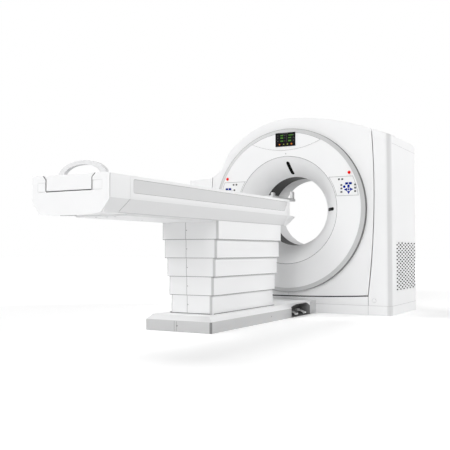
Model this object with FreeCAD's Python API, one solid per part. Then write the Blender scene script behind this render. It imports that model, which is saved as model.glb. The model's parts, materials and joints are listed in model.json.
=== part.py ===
import FreeCAD, Part
import math
import os

# Computed-tomography scanner: tilting gantry between two towers, patient table on a
# telescoping pedestal. Millimetres. X across the table, +Y from the table's foot end into
# the bore, +Z up. The origin is on the floor under the isocentre.

V = FreeCAD.Vector
X_AXIS = V(1, 0, 0)
Y_AXIS = V(0, 1, 0)
Z_AXIS = V(0, 0, 1)

# ---- Driving dimensions -----------------------------------------------------------------
bore_r = 350.0              # clear bore, 700 mm across
iso_z = 1010.0              # bore axis above the floor
scan_to_face = 340.0        # scan plane to the disc's front face
skin = 5.0                  # wall of the gantry covers
panel_wall = 4.0            # wall of the tower, skirt and table base covers

# Disc on the gantry's front
disc_r = 812.0
bevel_width = 41.0
bevel_depth = 18.0
disc_depth = 60.0
funnel_r = 532.0
crest_proud = 4.0
crest_dip = 217.0           # crease's lowest point below the disc's top
crest_ends = 137.0
panel_z0 = 1127.0
panel_z1 = 1315.0
panel_margin = 12.0
panel_proud = 2.0
screen_w = 216.0
screen_h = 138.0
screen_z = 1712.0
screen_t = 6.0

# Bore liner, front to rear
funnel_bow = 22.0           # the middle edge lies this far inside a straight funnel
funnel_mid_depth = 107.0
throat_y = -103.0
window_rear_y = 137.0
window_t = 6.0
rear_flare_y = 375.0
laser_w = 32.0
laser_y0 = -300.0
laser_y1 = -150.0

# Tilting body
body_top_r = 923.0
body_bottom_z = 159.5
body_depth = 880.0
rear_cover_depth = 40.0
front_hole_r = 700.0
crown_right_x = 60.0        # the round top runs between these two places
crown_left_in = 165.0       # in from the left shoulder's width, like the next two
crown_mid_x = -340.0
right_shoulder_x = 480.0
right_shoulder_z = 1877.0
left_step_in = 127.0
left_step_z = 1541.0
left_round_in = 65.0
left_round_z = 1446.0
corner_in = 73.0            # in from the towers' inner sides, like the next two
corner_z = 182.0
waist_in = 10.0
waist_z = 1000.0
shoulder_in = 29.0
shoulder_z = 1759.0
left_shoulder_z = 1387.0
rear_chamfer_y = 430.0
rear_chamfer_z = 262.0

# Towers and plinth
gap = 8.0                   # running gap between the tilting body and the towers
tower_in_x = 884.0
tower_right_x = 1040.0
tower_left_x = 1189.0
tower_rear_y = 612.0
tower_front_r = 65.0
tower_rear_r = 20.0
tower_top_r = 80.0
tower_nose_r = 12.0
tower_start_z = 200.0
right_top_in = 1752.0
right_top_out = 1690.0
left_top_in = 1385.0
left_top_out = 1366.0
cap_h = 78.0
skirt_h = 92.0
under_gap = 7.0             # between the tilting body and the plinth
plinth_wall = 6.0
plinth_gap = 3.0
seam_gap = 0.3

# Ventilation grille in the right tower's side
vent_y0 = -112.0
vent_y1 = 590.0
vent_z0 = 216.0
vent_z1 = 700.0
vent_columns = 12
vent_rows = 13
vent_slot_h = 13.0
vent_web = 4.0

# Floor frame, stands and trunnions
rail_h = 80.0
cross_h = 25.0
cross_half = 60.0
rail_gap = 11.0
rail_margin = 15.0
rail_setback = 47.0
stand_x0 = 905.0
stand_x1 = 985.0
stand_foot_half = 250.0
stand_head_r = 120.0
stand_foot_h = 60.0
stand_window_half = 150.0
stand_window_top = 75.0
stand_window_z0 = 220.0
stand_window_z1 = 830.0
pin_r = 60.0
running_clearance = 0.05
pin_hole_r = 75.0
anchor_r = 9.0
gantry_anchor_x = 960.0
gantry_anchor_y0 = -200.0
gantry_anchor_y1 = 540.0

# Tilt frame, bearing and rotor
ring_r = 790.0
ring_y0 = 200.0
ring_y1 = 240.0
bearing_out_r = 470.0
hub_r = 430.0
rotor_in_r = 385.0
rotor_to_posts = 50.0
rotor_plate_y = 120.0
rotor_plate_t = 15.0
post_half = 20.0
arm_root = 20.0
arm_x1 = 862.0
arm_half = 80.0
tube_radius = 570.0
tube_body_r = 95.0
tube_front_y = -80.0
collimator_w = 130.0
collimator_z0 = 400.0
detector_r0 = 560.0
detector_r1 = 640.0
detector_span = 58.0
detector_y0 = -60.0

# Emergency stop buttons
stop_x = 660.0
stop_z = 1348.0
stop_head_r = 15.0
stop_stem_half = 7.0
stop_travel = 5.0
stop_head_t = 11.0

# Table
tub_half = 300.0
tub_top_z = 1062.0
crease_z = 918.0
tub_bottom_half = 258.0
tub_bottom_z = 832.0
tub_foot_y = -3476.0
tub_far_y = -960.0
nose_top_y = -915.0
nose_lip_y = -785.0
nose_low_y = -885.0
nose_lip_half = 4.0
trough_half = 181.0
trough_z = 950.0
tub_wall = 5.0
block_in_x = 206.0
block_top_y = -3275.0
block_low_y = -3341.0
strip_z0 = 956.0
strip_z1 = 1042.0
strip_foot_y = -3242.0
strip_far_top_y = -964.0
strip_far_low_y = -1029.0
strip_recess = 3.0
strip_t = 2.0
strip_r = 15.0
end_bulge = 22.0
end_half = 303.0
end_top_z = 1065.0
end_low_half = 246.0
end_low_z = 829.0
end_dip_z = 814.0
end_crease_z = 905.0
end_edge_t = 5.0
end_lean = 16.0
notch_half = 180.0
notch_z = 966.0
mouth_flare = 24.0          # trough and notch open out at the top by this
recess_x0 = 186.0
recess_x1 = 248.0
recess_z0 = 963.0
recess_z1 = 1021.0
recess_depth = 1.5
underside_half = 215.0
underside_z = 821.0
underside_foot_y = -3190.0
underside_slant = 11.0

# Cradle, handle and head rest
cradle_half = 178.0
cradle_top_z = 1045.0
cradle_dip = 40.0
cradle_foot_y = -3335.0
cradle_far_y = -945.0
slide_gap = 0.3
end_block_y = -3490.0
handle_y = -3357.0
handle_t = 32.0
handle_half = 195.0
handle_top_z = 1163.0
handle_bar = 27.0
handle_leg = 45.0
head_half = 128.0
head_z0 = 1086.0
head_z1 = 1112.0
head_tip_y = -393.0
head_root_z = 968.0
head_root_t = 30.0
head_ramp = 45.0
head_ramp_z = 1072.0
head_under_run = 26.0
head_under_drop = 22.0
cheek_x = 103.0
cheek_t = 28.0
cheek_len = 50.0
cheek_h = 70.0
cheek_r = 9.0

# Pedestal
shell_count = 5
shell_x = 255.0
shell_x_step = 17.5
shell_foot_y = -2142.0
shell_far_y = -989.0
shell_y_step = 6.0
shell_wall = 3.0
shell_bottom_z = 690.0
shell_visible = 142.5
shell_overlap = 20.0
shell_corner_r = 22.0
shell_bulge = 8.0
shell_lip = 8.0
seam_w = 2.0
column_half_x = 110.0
column_half_y = 160.0
column_wall = 10.0
column_len = 333.0
column_overlap = 46.0
column_head_half_x = 150.0
column_head_half_y = 220.0
column_head_t = 15.0

# Table base
base_half = 290.0
base_apron = 148.0          # base in front of the pedestal's foot end
base_far_y = -431.0
base_top_z = 122.0
base_chamfer = 38.0
bridge_clearance = 73.0     # under the disc's rim
bridge_edge_r = 10.0
bay_foot_y = -862.0
bay_far_y = -434.0
bay_low_z = 88.0
bay_mid_z = 112.0
bay_corner = 24.0
bay_depth = 118.0
bay_floor_z = 3.0
liner_wall = 3.0
table_plate_t = 12.0
table_plate_half = 270.0
table_plate_foot_in = 15.0
table_plate_far_in = 9.0
bay_clearance = 5.0
table_anchor_x = 230.0
table_anchor_foot = 70.0    # bolts beyond the pedestal's ends
table_anchor_far = 58.0

# Foot pedals
pedal_pin_x = 214.0
pedal_pin_z = 46.0
pedal_pin_r = 6.0
pedal_boss = 12.0
pedal_y = (-742.0, -554.0)
pedal_w = 46.0
pedal_tip_x = 285.0
pedal_tip_z = 26.0
pedal_t = 8.0
pedal_bow = 6.0
pedal_nose_r = 9.0

# ---- Derived places -----------------------------------------------------------------------
face_y = -scan_to_face
corner_x = tower_in_x - corner_in
waist_x = tower_in_x - waist_in
shoulder_x = tower_in_x - shoulder_in
crown_left_x = crown_left_in - shoulder_x
left_step_x = left_step_in - shoulder_x
left_round_x = left_round_in - shoulder_x
plinth_half = corner_x + gap - plinth_gap
plinth_top_z = body_bottom_z - under_gap
plinth_end_z = corner_z - under_gap
funnel_mid_y = face_y + funnel_mid_depth
funnel_mid_r = funnel_r - (funnel_r - bore_r) * funnel_mid_depth / (throat_y - face_y) - funnel_bow
post_offset = ring_r * math.sqrt(0.5)
rotor_r = ring_r - rotor_to_posts
arm_x0 = ring_r - arm_root
body_front_y = face_y + disc_depth
body_rear_y = body_front_y + body_depth
shell_split_y = body_rear_y - rear_cover_depth
flat_r = disc_r - bevel_width
crest_dip_z = iso_z + disc_r - crest_dip
crest_end_z = iso_z + disc_r - crest_ends
bridge_top_z = iso_z - disc_r - bridge_clearance
base_foot_y = shell_foot_y - base_apron
table_anchor_y0 = shell_foot_y - table_anchor_foot
table_anchor_y1 = shell_far_y + table_anchor_far
tub_lip_half = trough_half + mouth_flare
block_top_z = end_top_z - 1.0
hinge_centre = V(0, 0, iso_z)
pedestal_y = (shell_foot_y + shell_far_y) / 2
frame_y0 = body_front_y + rail_setback
frame_y1 = tower_rear_y - rail_setback


# ---- Shape helpers ------------------------------------------------------------------------
def box(x0, x1, y0, y1, z0, z1):
    return Part.makeBox(x1 - x0, y1 - y0, z1 - z0, V(x0, y0, z0))


def path(start, steps, place):
    """A closed wire. A step is a point, or a pair (point on an arc, its end)."""
    edges = []
    here = place(*start)
    for step in steps + [start]:
        if isinstance(step[0], tuple):
            end = place(*step[1])
            edges.append(Part.Arc(here, place(*step[0]), end).toShape())
        else:
            end = place(*step)
            if here.distanceToPoint(end) > 1e-6:
                edges.append(Part.LineSegment(here, end).toShape())
        here = end
    return Part.Wire(edges)


def prism_xz(start, steps, y0, y1):
    wire = path(start, steps, lambda x, z: V(x, y0, z))
    return Part.Face(wire).extrude(Y_AXIS * (y1 - y0))


def prism_yz(start, steps, x0, x1):
    wire = path(start, steps, lambda y, z: V(x0, y, z))
    return Part.Face(wire).extrude(X_AXIS * (x1 - x0))


def prism_xy(start, steps, z0, z1):
    wire = path(start, steps, lambda x, y: V(x, y, z0))
    return Part.Face(wire).extrude(Z_AXIS * (z1 - z0))


def about_bore(start, steps, angle=360.0):
    """A solid turned about the bore axis from a profile of (radius, y) points."""
    wire = path(start, steps, lambda r, y: V(r, y, iso_z))
    return Part.Face(wire).revolve(hinge_centre, Y_AXIS, angle)


def ring(r0, r1, y0, y1):
    return about_bore((r0, y0), [(r1, y0), (r1, y1), (r0, y1)])


def along_x(r, x0, x1, y, z):
    return Part.makeCylinder(r, x1 - x0, V(x0, y, z), X_AXIS)


def along_y(r, x, y0, y1, z):
    return Part.makeCylinder(r, y1 - y0, V(x, y0, z), Y_AXIS)


def mirrored(shape):
    """The shape on the other side of the machine's middle plane."""
    return shape.mirror(V(0, 0, 0), X_AXIS)


def corner_arc(cx, cy, r, a0, a1):
    """An arc step of a path: from angle a0 to a1, in degrees, about a centre."""
    mid = math.radians((a0 + a1) / 2)
    end = math.radians(a1)
    through = (cx + r * math.cos(mid), cy + r * math.sin(mid))
    return (through, (cx + r * math.cos(end), cy + r * math.sin(end)))


# ---- The tilting body's outline -------------------------------------------------------------
def circle_through(a, b, c):
    """Centre and radius of the circle through three points."""
    d = 2 * (a[0] * (b[1] - c[1]) + b[0] * (c[1] - a[1]) + c[0] * (a[1] - b[1]))
    sq = [p[0] ** 2 + p[1] ** 2 for p in (a, b, c)]
    cx = (sq[0] * (b[1] - c[1]) + sq[1] * (c[1] - a[1]) + sq[2] * (a[1] - b[1])) / d
    cy = (sq[0] * (c[0] - b[0]) + sq[1] * (a[0] - c[0]) + sq[2] * (b[0] - a[0])) / d
    return cx, cy, math.hypot(a[0] - cx, a[1] - cy)


barrel = circle_through((corner_x, corner_z), (waist_x, waist_z), (shoulder_x, shoulder_z))


def barrel_x(z):
    """Half width of the body's bulging side at a height."""
    return barrel[0] + math.sqrt(barrel[2] ** 2 - (z - barrel[1]) ** 2)


def on_top_circle(x):
    return (x, iso_z + math.sqrt(body_top_r ** 2 - x ** 2))


def body_face(y):
    """Front outline: round over the disc on the left, a full shoulder on the right."""
    left_foot = (-corner_x, corner_z)
    left_shoulder = (-barrel_x(left_shoulder_z), left_shoulder_z)
    steps = [
        ((0.0, body_bottom_z), (corner_x, corner_z)),
        ((waist_x, waist_z), (shoulder_x, shoulder_z)),
        ((right_shoulder_x, right_shoulder_z), on_top_circle(crown_right_x)),
        (on_top_circle(crown_mid_x), on_top_circle(crown_left_x)),
        (left_step_x, left_step_z),
        ((left_round_x, left_round_z), left_shoulder),
        ((-waist_x, waist_z), left_foot),
    ]
    wire = path(left_foot, steps, lambda x, z: V(x, y, z))
    return Part.Face(wire)


def body_block(y0, y1, inset):
    """The body's outline as a block, its rear lower edge cut off to swing over the floor."""
    face = body_face(y0)
    if inset:
        face = face.makeOffset2D(-inset)
    block = face.extrude(Y_AXIS * (y1 - y0))
    run = body_rear_y - rear_chamfer_y
    slope = (rear_chamfer_z - body_bottom_z) / run
    z_start = body_bottom_z + inset * 1.2
    far = body_rear_y + 50.0
    wedge = prism_yz(
        (rear_chamfer_y, z_start),
        [(far, z_start + slope * (far - rear_chamfer_y)), (far, 0.0), (rear_chamfer_y, 0.0)],
        -tower_in_x, tower_in_x)
    return block.cut(wedge)


def body_shell():
    block = body_block(body_front_y, shell_split_y, 0)
    hollow = body_block(body_front_y + skin, shell_split_y + 1.0, skin)
    front_hole = ring(0.0, front_hole_r, body_front_y - 1.0, body_front_y + skin + 1.0)
    pins = along_x(pin_hole_r, -tower_in_x, tower_in_x, 0.0, iso_z)
    return block.cut([hollow, front_hole, pins])


def rear_cover():
    block = body_block(shell_split_y, body_rear_y, 0)
    hollow = body_block(shell_split_y - 1.0, body_rear_y - skin, skin)
    mouth = ring(0.0, funnel_r, shell_split_y - 1.0, body_rear_y + 1.0)
    return block.cut([hollow, mouth])


# ---- Disc and bore liner ------------------------------------------------------------------
def crest_region(y0, y1):
    half = math.sqrt(flat_r ** 2 - (crest_end_z - iso_z) ** 2)
    top_z = iso_z + disc_r + 50.0
    return prism_xz((-half, crest_end_z), [((0.0, crest_dip_z), (half, crest_end_z)),
                    (half, top_z), (-half, top_z)], y0, y1)


def panel_region(side, y0, y1):
    low, high = panel_z0, panel_z1
    keep = box(0.0, disc_r, y0, y1, low, high)
    plate = ring(funnel_r + panel_margin, flat_r - panel_margin, y0, y1).common(keep)
    return mirrored(plate) if side < 0 else plate


def stem_square(side, clearance, y0, y1):
    half = stop_stem_half + clearance
    x = side * stop_x
    return box(x - half, x + half, y0, y1, stop_z - half, stop_z + half)


def disc_face():
    plate = ring(funnel_r, flat_r, face_y, face_y + skin)
    y0 = face_y - 1.0
    y1 = face_y + skin + 1.0
    cuts = [crest_region(y0, y1)]
    for side in (-1, 1):
        cuts.append(panel_region(side, y0, y1))
        cuts.append(stem_square(side, running_clearance, y0, y1))
    return plate.cut(cuts)


def disc_crest():
    return ring(funnel_r, flat_r, face_y - crest_proud, face_y + skin).common(
        crest_region(face_y - crest_proud, face_y + skin))


def disc_rim():
    """Solid bevelled ring that carries the disc on the body's front."""
    return about_bore((flat_r, face_y), [(disc_r, face_y + bevel_depth), (disc_r, body_front_y),
                      (flat_r, body_front_y)])


def control_panel(side):
    return panel_region(side, face_y - panel_proud, face_y + skin)


def display_screen():
    back = face_y - crest_proud
    half = screen_w / 2
    return box(-half, half, back - screen_t, back, screen_z - screen_h / 2, screen_z + screen_h / 2)


def funnel_solid():
    return about_bore((funnel_r, face_y), [(funnel_mid_r, funnel_mid_y), (bore_r, throat_y),
                      (bore_r + skin, throat_y), (funnel_r, face_y + skin)])


def laser_slots():
    up = box(-laser_w / 2, laser_w / 2, laser_y0, laser_y1, iso_z + bore_r, iso_z + funnel_r)
    right = box(bore_r, funnel_r, laser_y0, laser_y1, iso_z - laser_w / 2, iso_z + laser_w / 2)
    return [up, right, mirrored(right)]


def front_funnel():
    return funnel_solid().cut(laser_slots())


def laser_windows():
    funnel = funnel_solid()
    return Part.makeCompound([funnel.common(slot) for slot in laser_slots()])


def scan_window():
    return ring(bore_r, bore_r + window_t, throat_y, window_rear_y)


def rear_bore():
    return ring(bore_r, bore_r + window_t, window_rear_y, rear_flare_y)


def rear_funnel():
    return about_bore((bore_r, rear_flare_y), [(funnel_r - skin, body_rear_y), (funnel_r, body_rear_y),
                      (funnel_r, body_rear_y - skin), (bore_r + window_t, rear_flare_y)])


# ---- Tilt frame, bearing and rotor --------------------------------------------------------
def tilt_frame():
    """Steel ring plate with four posts to the covers, two arms and the trunnion pins."""
    cut = ring_r * (2.0 - math.sqrt(2.0))
    low = iso_z - ring_r
    high = iso_z + ring_r
    plate = prism_xz((cut - ring_r, low), [(ring_r - cut, low), (ring_r, low + cut), (ring_r, high - cut),
                     (ring_r - cut, high), (cut - ring_r, high), (-ring_r, high - cut), (-ring_r, low + cut)],
                     ring_y0, ring_y1)
    parts = []
    for side in (-1, 1):
        for up in (-1, 1):
            x = side * post_offset
            z = iso_z + up * post_offset
            parts.append(box(x - post_half, x + post_half, body_front_y + skin, body_rear_y - skin,
                         z - post_half, z + post_half))
        arm = box(arm_x0, arm_x1, -arm_half, ring_y1, iso_z - arm_half, iso_z + arm_half)
        pin = along_x(pin_r, arm_x1, stand_x1, 0.0, iso_z)
        parts.append(arm if side > 0 else mirrored(arm))
        parts.append(pin if side > 0 else mirrored(pin))
    seat = ring(0.0, bearing_out_r, ring_y0 - 1.0, ring_y1 + 1.0)
    return plate.fuse(parts).cut(seat).removeSplitter()


def main_bearing():
    return ring(hub_r + running_clearance, bearing_out_r, ring_y0, ring_y1)


def rotor_drum():
    plate_back = rotor_plate_y + rotor_plate_t
    return about_bore((rotor_in_r, rotor_plate_y), [(rotor_r, rotor_plate_y), (rotor_r, plate_back),
                      (hub_r, plate_back), (hub_r, ring_y1), (rotor_in_r, ring_y1)])


def tube_unit():
    """X-ray tube housing with the collimator box under it."""
    z = iso_z + tube_radius
    housing = along_y(tube_body_r, 0.0, tube_front_y, rotor_plate_y, z)
    half = collimator_w / 2
    collimator = box(-half, half, tube_front_y + 30.0, rotor_plate_y, iso_z + collimator_z0, z)
    return housing.fuse(collimator).removeSplitter()


def detector_arc():
    arc = about_bore((detector_r0, detector_y0), [(detector_r1, detector_y0), (detector_r1, rotor_plate_y),
                     (detector_r0, rotor_plate_y)], detector_span)
    arc.rotate(hinge_centre, Y_AXIS, 90.0 - detector_span / 2)
    return arc


def stop_button(side):
    """Round head on a square stem that runs in the disc's face."""
    head_y = face_y - stop_travel - 1.0
    head = along_y(stop_head_r, side * stop_x, head_y - stop_head_t, head_y, stop_z)
    return head.fuse(stem_square(side, 0.0, head_y, face_y + skin + 8.0)).removeSplitter()


# ---- Towers, skirts and plinth --------------------------------------------------------------
def tower_profile(x0, x1, top_z, inset):
    """A tower's side outline as a block: nose radius in front, large radius at the rear top."""
    y0 = body_front_y + inset
    y1 = tower_rear_y - inset
    top = top_z - inset
    rear_r = tower_top_r - inset
    nose_r = tower_nose_r - inset
    steps = [
        (y1, top - rear_r),
        corner_arc(y1 - rear_r, top - rear_r, rear_r, 0.0, 90.0),
        (y0 + nose_r, top),
        corner_arc(y0 + nose_r, top - nose_r, nose_r, 90.0, 180.0),
        (y0, -tower_start_z),
    ]
    return prism_yz((y1, -tower_start_z), steps, x0, x1)


def tower_plan(outer_x, inset, z0, z1):
    """The tower's footprint on the right side, its outer corners rounded."""
    x0 = tower_in_x + inset
    x1 = outer_x - inset
    y0 = body_front_y + inset
    y1 = tower_rear_y - inset
    fr = tower_front_r - inset
    rr = tower_rear_r - inset
    steps = [
        (x1 - fr, y0),
        corner_arc(x1 - fr, y0 + fr, fr, -90.0, 0.0),
        (x1, y1 - rr),
        corner_arc(x1 - rr, y1 - rr, rr, 0.0, 90.0),
        (x0, y1),
    ]
    return prism_xy((x0, y0), steps, z0, z1)


def tower_block(outer_x, top_in, top_out, inset, z0):
    """A tower as a block: its side outline turned down to the slope of its top."""
    run = outer_x - tower_in_x
    slope = math.degrees(math.atan2(top_in - top_out, run))
    block = tower_profile(tower_in_x - top_in, outer_x + top_in, top_in, inset)
    block.rotate(V(tower_in_x, 0, top_in), Y_AXIS, slope)
    return block.common(tower_plan(outer_x, inset, z0, top_in + cap_h))


def below_line(outer_x, z_in, z_out):
    """Everything under a line that runs from the gap to the tower's outer side."""
    slope = (z_out - z_in) / (outer_x - tower_in_x)
    reach = outer_x - tower_in_x
    xa = tower_in_x - reach
    xb = outer_x + reach
    return prism_xz((xa, -1.0), [(xb, -1.0), (xb, z_in + slope * (xb - tower_in_x)),
                    (xa, z_in + slope * (xa - tower_in_x))], body_front_y - 1.0, tower_rear_y + 1.0)


def gap_lip(z0, z1):
    """The tower's front wall where it follows the body's bulging side."""
    edge = gap + corner_x
    x1 = tower_in_x + panel_wall
    y1 = body_front_y + panel_wall
    mid_z = (corner_z + z1) / 2
    if z0 < corner_z:
        start = (edge, z0)
        inner = [(edge, corner_z), ((barrel_x(mid_z) + gap, mid_z), (barrel_x(z1) + gap, z1))]
    else:
        mid_z = (z0 + z1) / 2
        start = (barrel_x(z0) + gap, z0)
        inner = [((barrel_x(mid_z) + gap, mid_z), (barrel_x(z1) + gap, z1))]
    return prism_xz(start, inner + [(x1, z1), (x1, z0)], body_front_y, y1)


def vent_opening():
    return box(tower_right_x - panel_wall - 1.0, tower_right_x + 1.0, vent_y0, vent_y1, vent_z0, vent_z1)


def right_tower_cover():
    block = tower_block(tower_right_x, right_top_in, right_top_out, 0, skirt_h)
    hollow = tower_block(tower_right_x, right_top_in, right_top_out, panel_wall, skirt_h - 1.0)
    lip = gap_lip(skirt_h, shoulder_z - 10.0)
    pin_hole = along_x(pin_hole_r, tower_in_x - 1.0, tower_in_x + panel_wall + 1.0, 0.0, iso_z)
    seam = below_line(tower_right_x, right_top_in - cap_h, right_top_out - cap_h)
    return block.cut(hollow).fuse(lip).common(seam).cut([vent_opening(), pin_hole]).removeSplitter()


def right_tower_cap():
    block = tower_block(tower_right_x, right_top_in, right_top_out, 0, skirt_h)
    hollow = tower_block(tower_right_x, right_top_in, right_top_out, panel_wall, skirt_h)
    lip = gap_lip(right_top_in - 2 * cap_h, shoulder_z - 4.0)
    seam = below_line(tower_right_x, right_top_in - cap_h, right_top_out - cap_h)
    top = below_line(tower_right_x, right_top_in, right_top_out)
    return block.cut(hollow).fuse(lip).common(top).cut(seam).removeSplitter()


def left_tower_cover():
    block = tower_block(tower_left_x, left_top_in, left_top_out, 0, skirt_h)
    hollow = tower_block(tower_left_x, left_top_in, left_top_out, panel_wall, skirt_h - 1.0)
    lip = gap_lip(skirt_h, left_top_in + 2.0)
    top = below_line(tower_left_x, left_top_in, left_top_out)
    pin_hole = along_x(pin_hole_r, tower_in_x - 1.0, tower_in_x + panel_wall + 1.0, 0.0, iso_z)
    return mirrored(block.cut(hollow).fuse(lip).common(top).cut(pin_hole).removeSplitter())


def skirt(outer_x):
    """Plinth cover round a tower's three outer sides, with the lip towards the middle plinth."""
    wall = tower_plan(outer_x, 0, 0.0, skirt_h).cut(tower_plan(outer_x, panel_wall, -1.0, skirt_h + 1.0))
    wall = wall.cut(box(tower_in_x - 1.0, tower_in_x + panel_wall + 1.0, body_front_y + panel_wall,
                    tower_rear_y - panel_wall, -1.0, skirt_h + 1.0))
    lip = box(plinth_half + seam_gap, tower_in_x + panel_wall, body_front_y, body_front_y + panel_wall,
              0.0, skirt_h)
    return wall.fuse(lip).removeSplitter()


def vent_grille():
    x0 = tower_right_x - panel_wall
    plate = box(x0, tower_right_x, vent_y0, vent_y1, vent_z0, vent_z1)
    pitch_y = (vent_y1 - vent_y0 - 2 * vent_web) / vent_columns
    pitch_z = (vent_z1 - vent_z0 - 2 * vent_web) / (vent_rows + 0.5)
    slots = []
    for column in range(vent_columns):
        y = vent_y0 + vent_web + (column + 0.5) * pitch_y
        for row in range(vent_rows):
            z = vent_z0 + vent_web + (row + 0.5 + 0.5 * (column % 2)) * pitch_z
            slots.append(box(x0 - 1.0, tower_right_x + 1.0, y - pitch_y / 2 + vent_web / 2,
                         y + pitch_y / 2 - vent_web / 2, z - vent_slot_h / 2, z + vent_slot_h / 2))
    return plate.cut(Part.makeCompound(slots))


def plinth_strip(y0, z0, z1):
    return box(-plinth_half, plinth_half, y0, y0 + plinth_wall, z0, z1)


def front_plinth():
    """Upper plinth strip: its top follows the body's bowed lower edge."""
    return prism_xz((-plinth_half, skirt_h), [(-plinth_half, plinth_end_z), ((0.0, plinth_top_z),
                    (plinth_half, plinth_end_z)), (plinth_half, skirt_h)],
                    body_front_y, body_front_y + plinth_wall)


def lower_plinth():
    foot = box(-plinth_half, plinth_half, body_front_y, frame_y0, 0.0, plinth_wall)
    return plinth_strip(body_front_y, 0.0, skirt_h).fuse(foot).removeSplitter()


def rear_plinth():
    y0 = tower_rear_y - plinth_wall
    foot = box(-plinth_half, plinth_half, frame_y1, tower_rear_y, 0.0, plinth_wall)
    return plinth_strip(y0, 0.0, plinth_top_z).fuse(foot).removeSplitter()


# ---- Floor frame and stands ---------------------------------------------------------------
def floor_frame():
    y0 = frame_y0
    y1 = frame_y1
    x0 = tower_in_x + rail_gap
    parts = [box(x0, tower_right_x - rail_margin, y0, y1, 0.0, rail_h)]
    parts.append(box(rail_margin - tower_left_x, -x0, y0, y1, 0.0, rail_h))
    for middle in (y0 + cross_half, 0.0, y1 - cross_half):
        parts.append(box(-x0, x0, middle - cross_half, middle + cross_half, 0.0, cross_h))
    frame = parts[0].fuse(parts[1:]).removeSplitter()
    holes = []
    for x in (-gantry_anchor_x, gantry_anchor_x):
        for y in (gantry_anchor_y0, gantry_anchor_y1):
            holes.append(Part.makeCylinder(anchor_r, rail_h + 2.0, V(x, y, -1.0), Z_AXIS))
    return frame.cut(holes)


def stand():
    """Tapered steel stand that carries one trunnion in its head."""
    foot = stand_foot_half
    head = stand_head_r
    foot_z = rail_h + stand_foot_h
    plate = prism_yz((-foot, rail_h), [(foot, rail_h), (foot, foot_z), (head, iso_z),
                     ((0.0, iso_z + head), (-head, iso_z)), (-foot, foot_z)], stand_x0, stand_x1)
    low = stand_window_half
    high = stand_window_top
    window = prism_yz((-low, stand_window_z0), [(low, stand_window_z0), (high, stand_window_z1),
                      (-high, stand_window_z1)], stand_x0 - 1.0, stand_x1 + 1.0)
    bore = along_x(pin_r + running_clearance, stand_x0 - 1.0, stand_x1 + 1.0, 0.0, iso_z)
    return plate.cut([window, bore])


# ---- Table tub --------------------------------------------------------------------------------
def tub_outline(y0, y1):
    """Tub section: upright sides, slanted lower sides, an open trough for the cradle."""
    flare_z = tub_top_z - mouth_flare
    return prism_xz((tub_lip_half, tub_top_z), [(tub_half, tub_top_z), (tub_half, crease_z),
                    (tub_bottom_half, tub_bottom_z), (-tub_bottom_half, tub_bottom_z), (-tub_half, crease_z),
                    (-tub_half, tub_top_z), (-tub_lip_half, tub_top_z), (-trough_half, flare_z),
                    (-trough_half, trough_z), (trough_half, trough_z), (trough_half, flare_z)], y0, y1)


def tub_hollow(y0, y1):
    w = tub_wall
    top = tub_top_z - w
    side = tub_half - w
    low = tub_bottom_half - w / 2
    lip = tub_lip_half + w
    return prism_xz((lip, top), [(side, top), (side, crease_z + w / 3), (low, tub_bottom_z + w),
                    (-low, tub_bottom_z + w), (-side, crease_z + w / 3), (-side, top), (-lip, top),
                    (-lip, trough_z - w), (lip, trough_z - w)], y0, y1)


def strip_region(side, x0, x1):
    r = strip_r
    y = strip_foot_y + r
    shape = prism_yz((y, strip_z0), [(strip_far_low_y, strip_z0), (strip_far_top_y, strip_z1), (y, strip_z1),
                     corner_arc(y, strip_z1 - r, r, 90.0, 180.0), (strip_foot_y, strip_z0 + r),
                     corner_arc(y, strip_z0 + r, r, 180.0, 270.0)], x0, x1)
    return mirrored(shape) if side < 0 else shape


def side_block_region(x0, x1):
    return prism_yz((tub_foot_y, tub_bottom_z), [(tub_foot_y, tub_top_z), (block_top_y, tub_top_z),
                    (block_top_y, crease_z), (block_low_y, tub_bottom_z)], x0, x1)


def side_block(side):
    block = tub_outline(tub_foot_y, block_top_y).common(side_block_region(block_in_x, tub_half))
    return mirrored(block) if side < 0 else block


def tub_pan():
    outer = tub_outline(tub_foot_y, tub_far_y)
    cuts = [tub_hollow(tub_foot_y - 1.0, tub_far_y + 1.0)]
    cuts.append(shell_section(1, shell_wall, tub_bottom_z - 1.0, tub_bottom_z + tub_wall + 1.0))
    for side in (-1, 1):
        cuts.append(strip_region(side, tub_half - strip_recess, tub_half + 1.0))
        blocks = side_block_region(block_in_x, tub_half + 1.0)
        cuts.append(mirrored(blocks) if side < 0 else blocks)
    return outer.cut(cuts)


def side_strip(side):
    x0 = tub_half - strip_recess
    return strip_region(side, x0, x0 + strip_t)


def tub_nose():
    low = crease_z - nose_lip_half
    high = crease_z + nose_lip_half
    shape = prism_yz((tub_far_y, tub_bottom_z), [(nose_low_y, tub_bottom_z), (nose_lip_y, low),
                     (nose_top_y, high), (nose_top_y, tub_top_z), (tub_far_y, tub_top_z)],
                     -tub_half, tub_half)
    return tub_outline(tub_far_y, nose_lip_y).common(shape)


def notch(half, low, top, y0, y1):
    """The notch's section, or the block's that fills it: upright, then flared at the top."""
    flare_z = end_top_z - mouth_flare
    wide = half + top - flare_z
    return prism_xz((half, low), [(half, flare_z), (wide, top), (-wide, top), (-half, flare_z), (-half, low)],
                    y0, y1)


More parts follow.
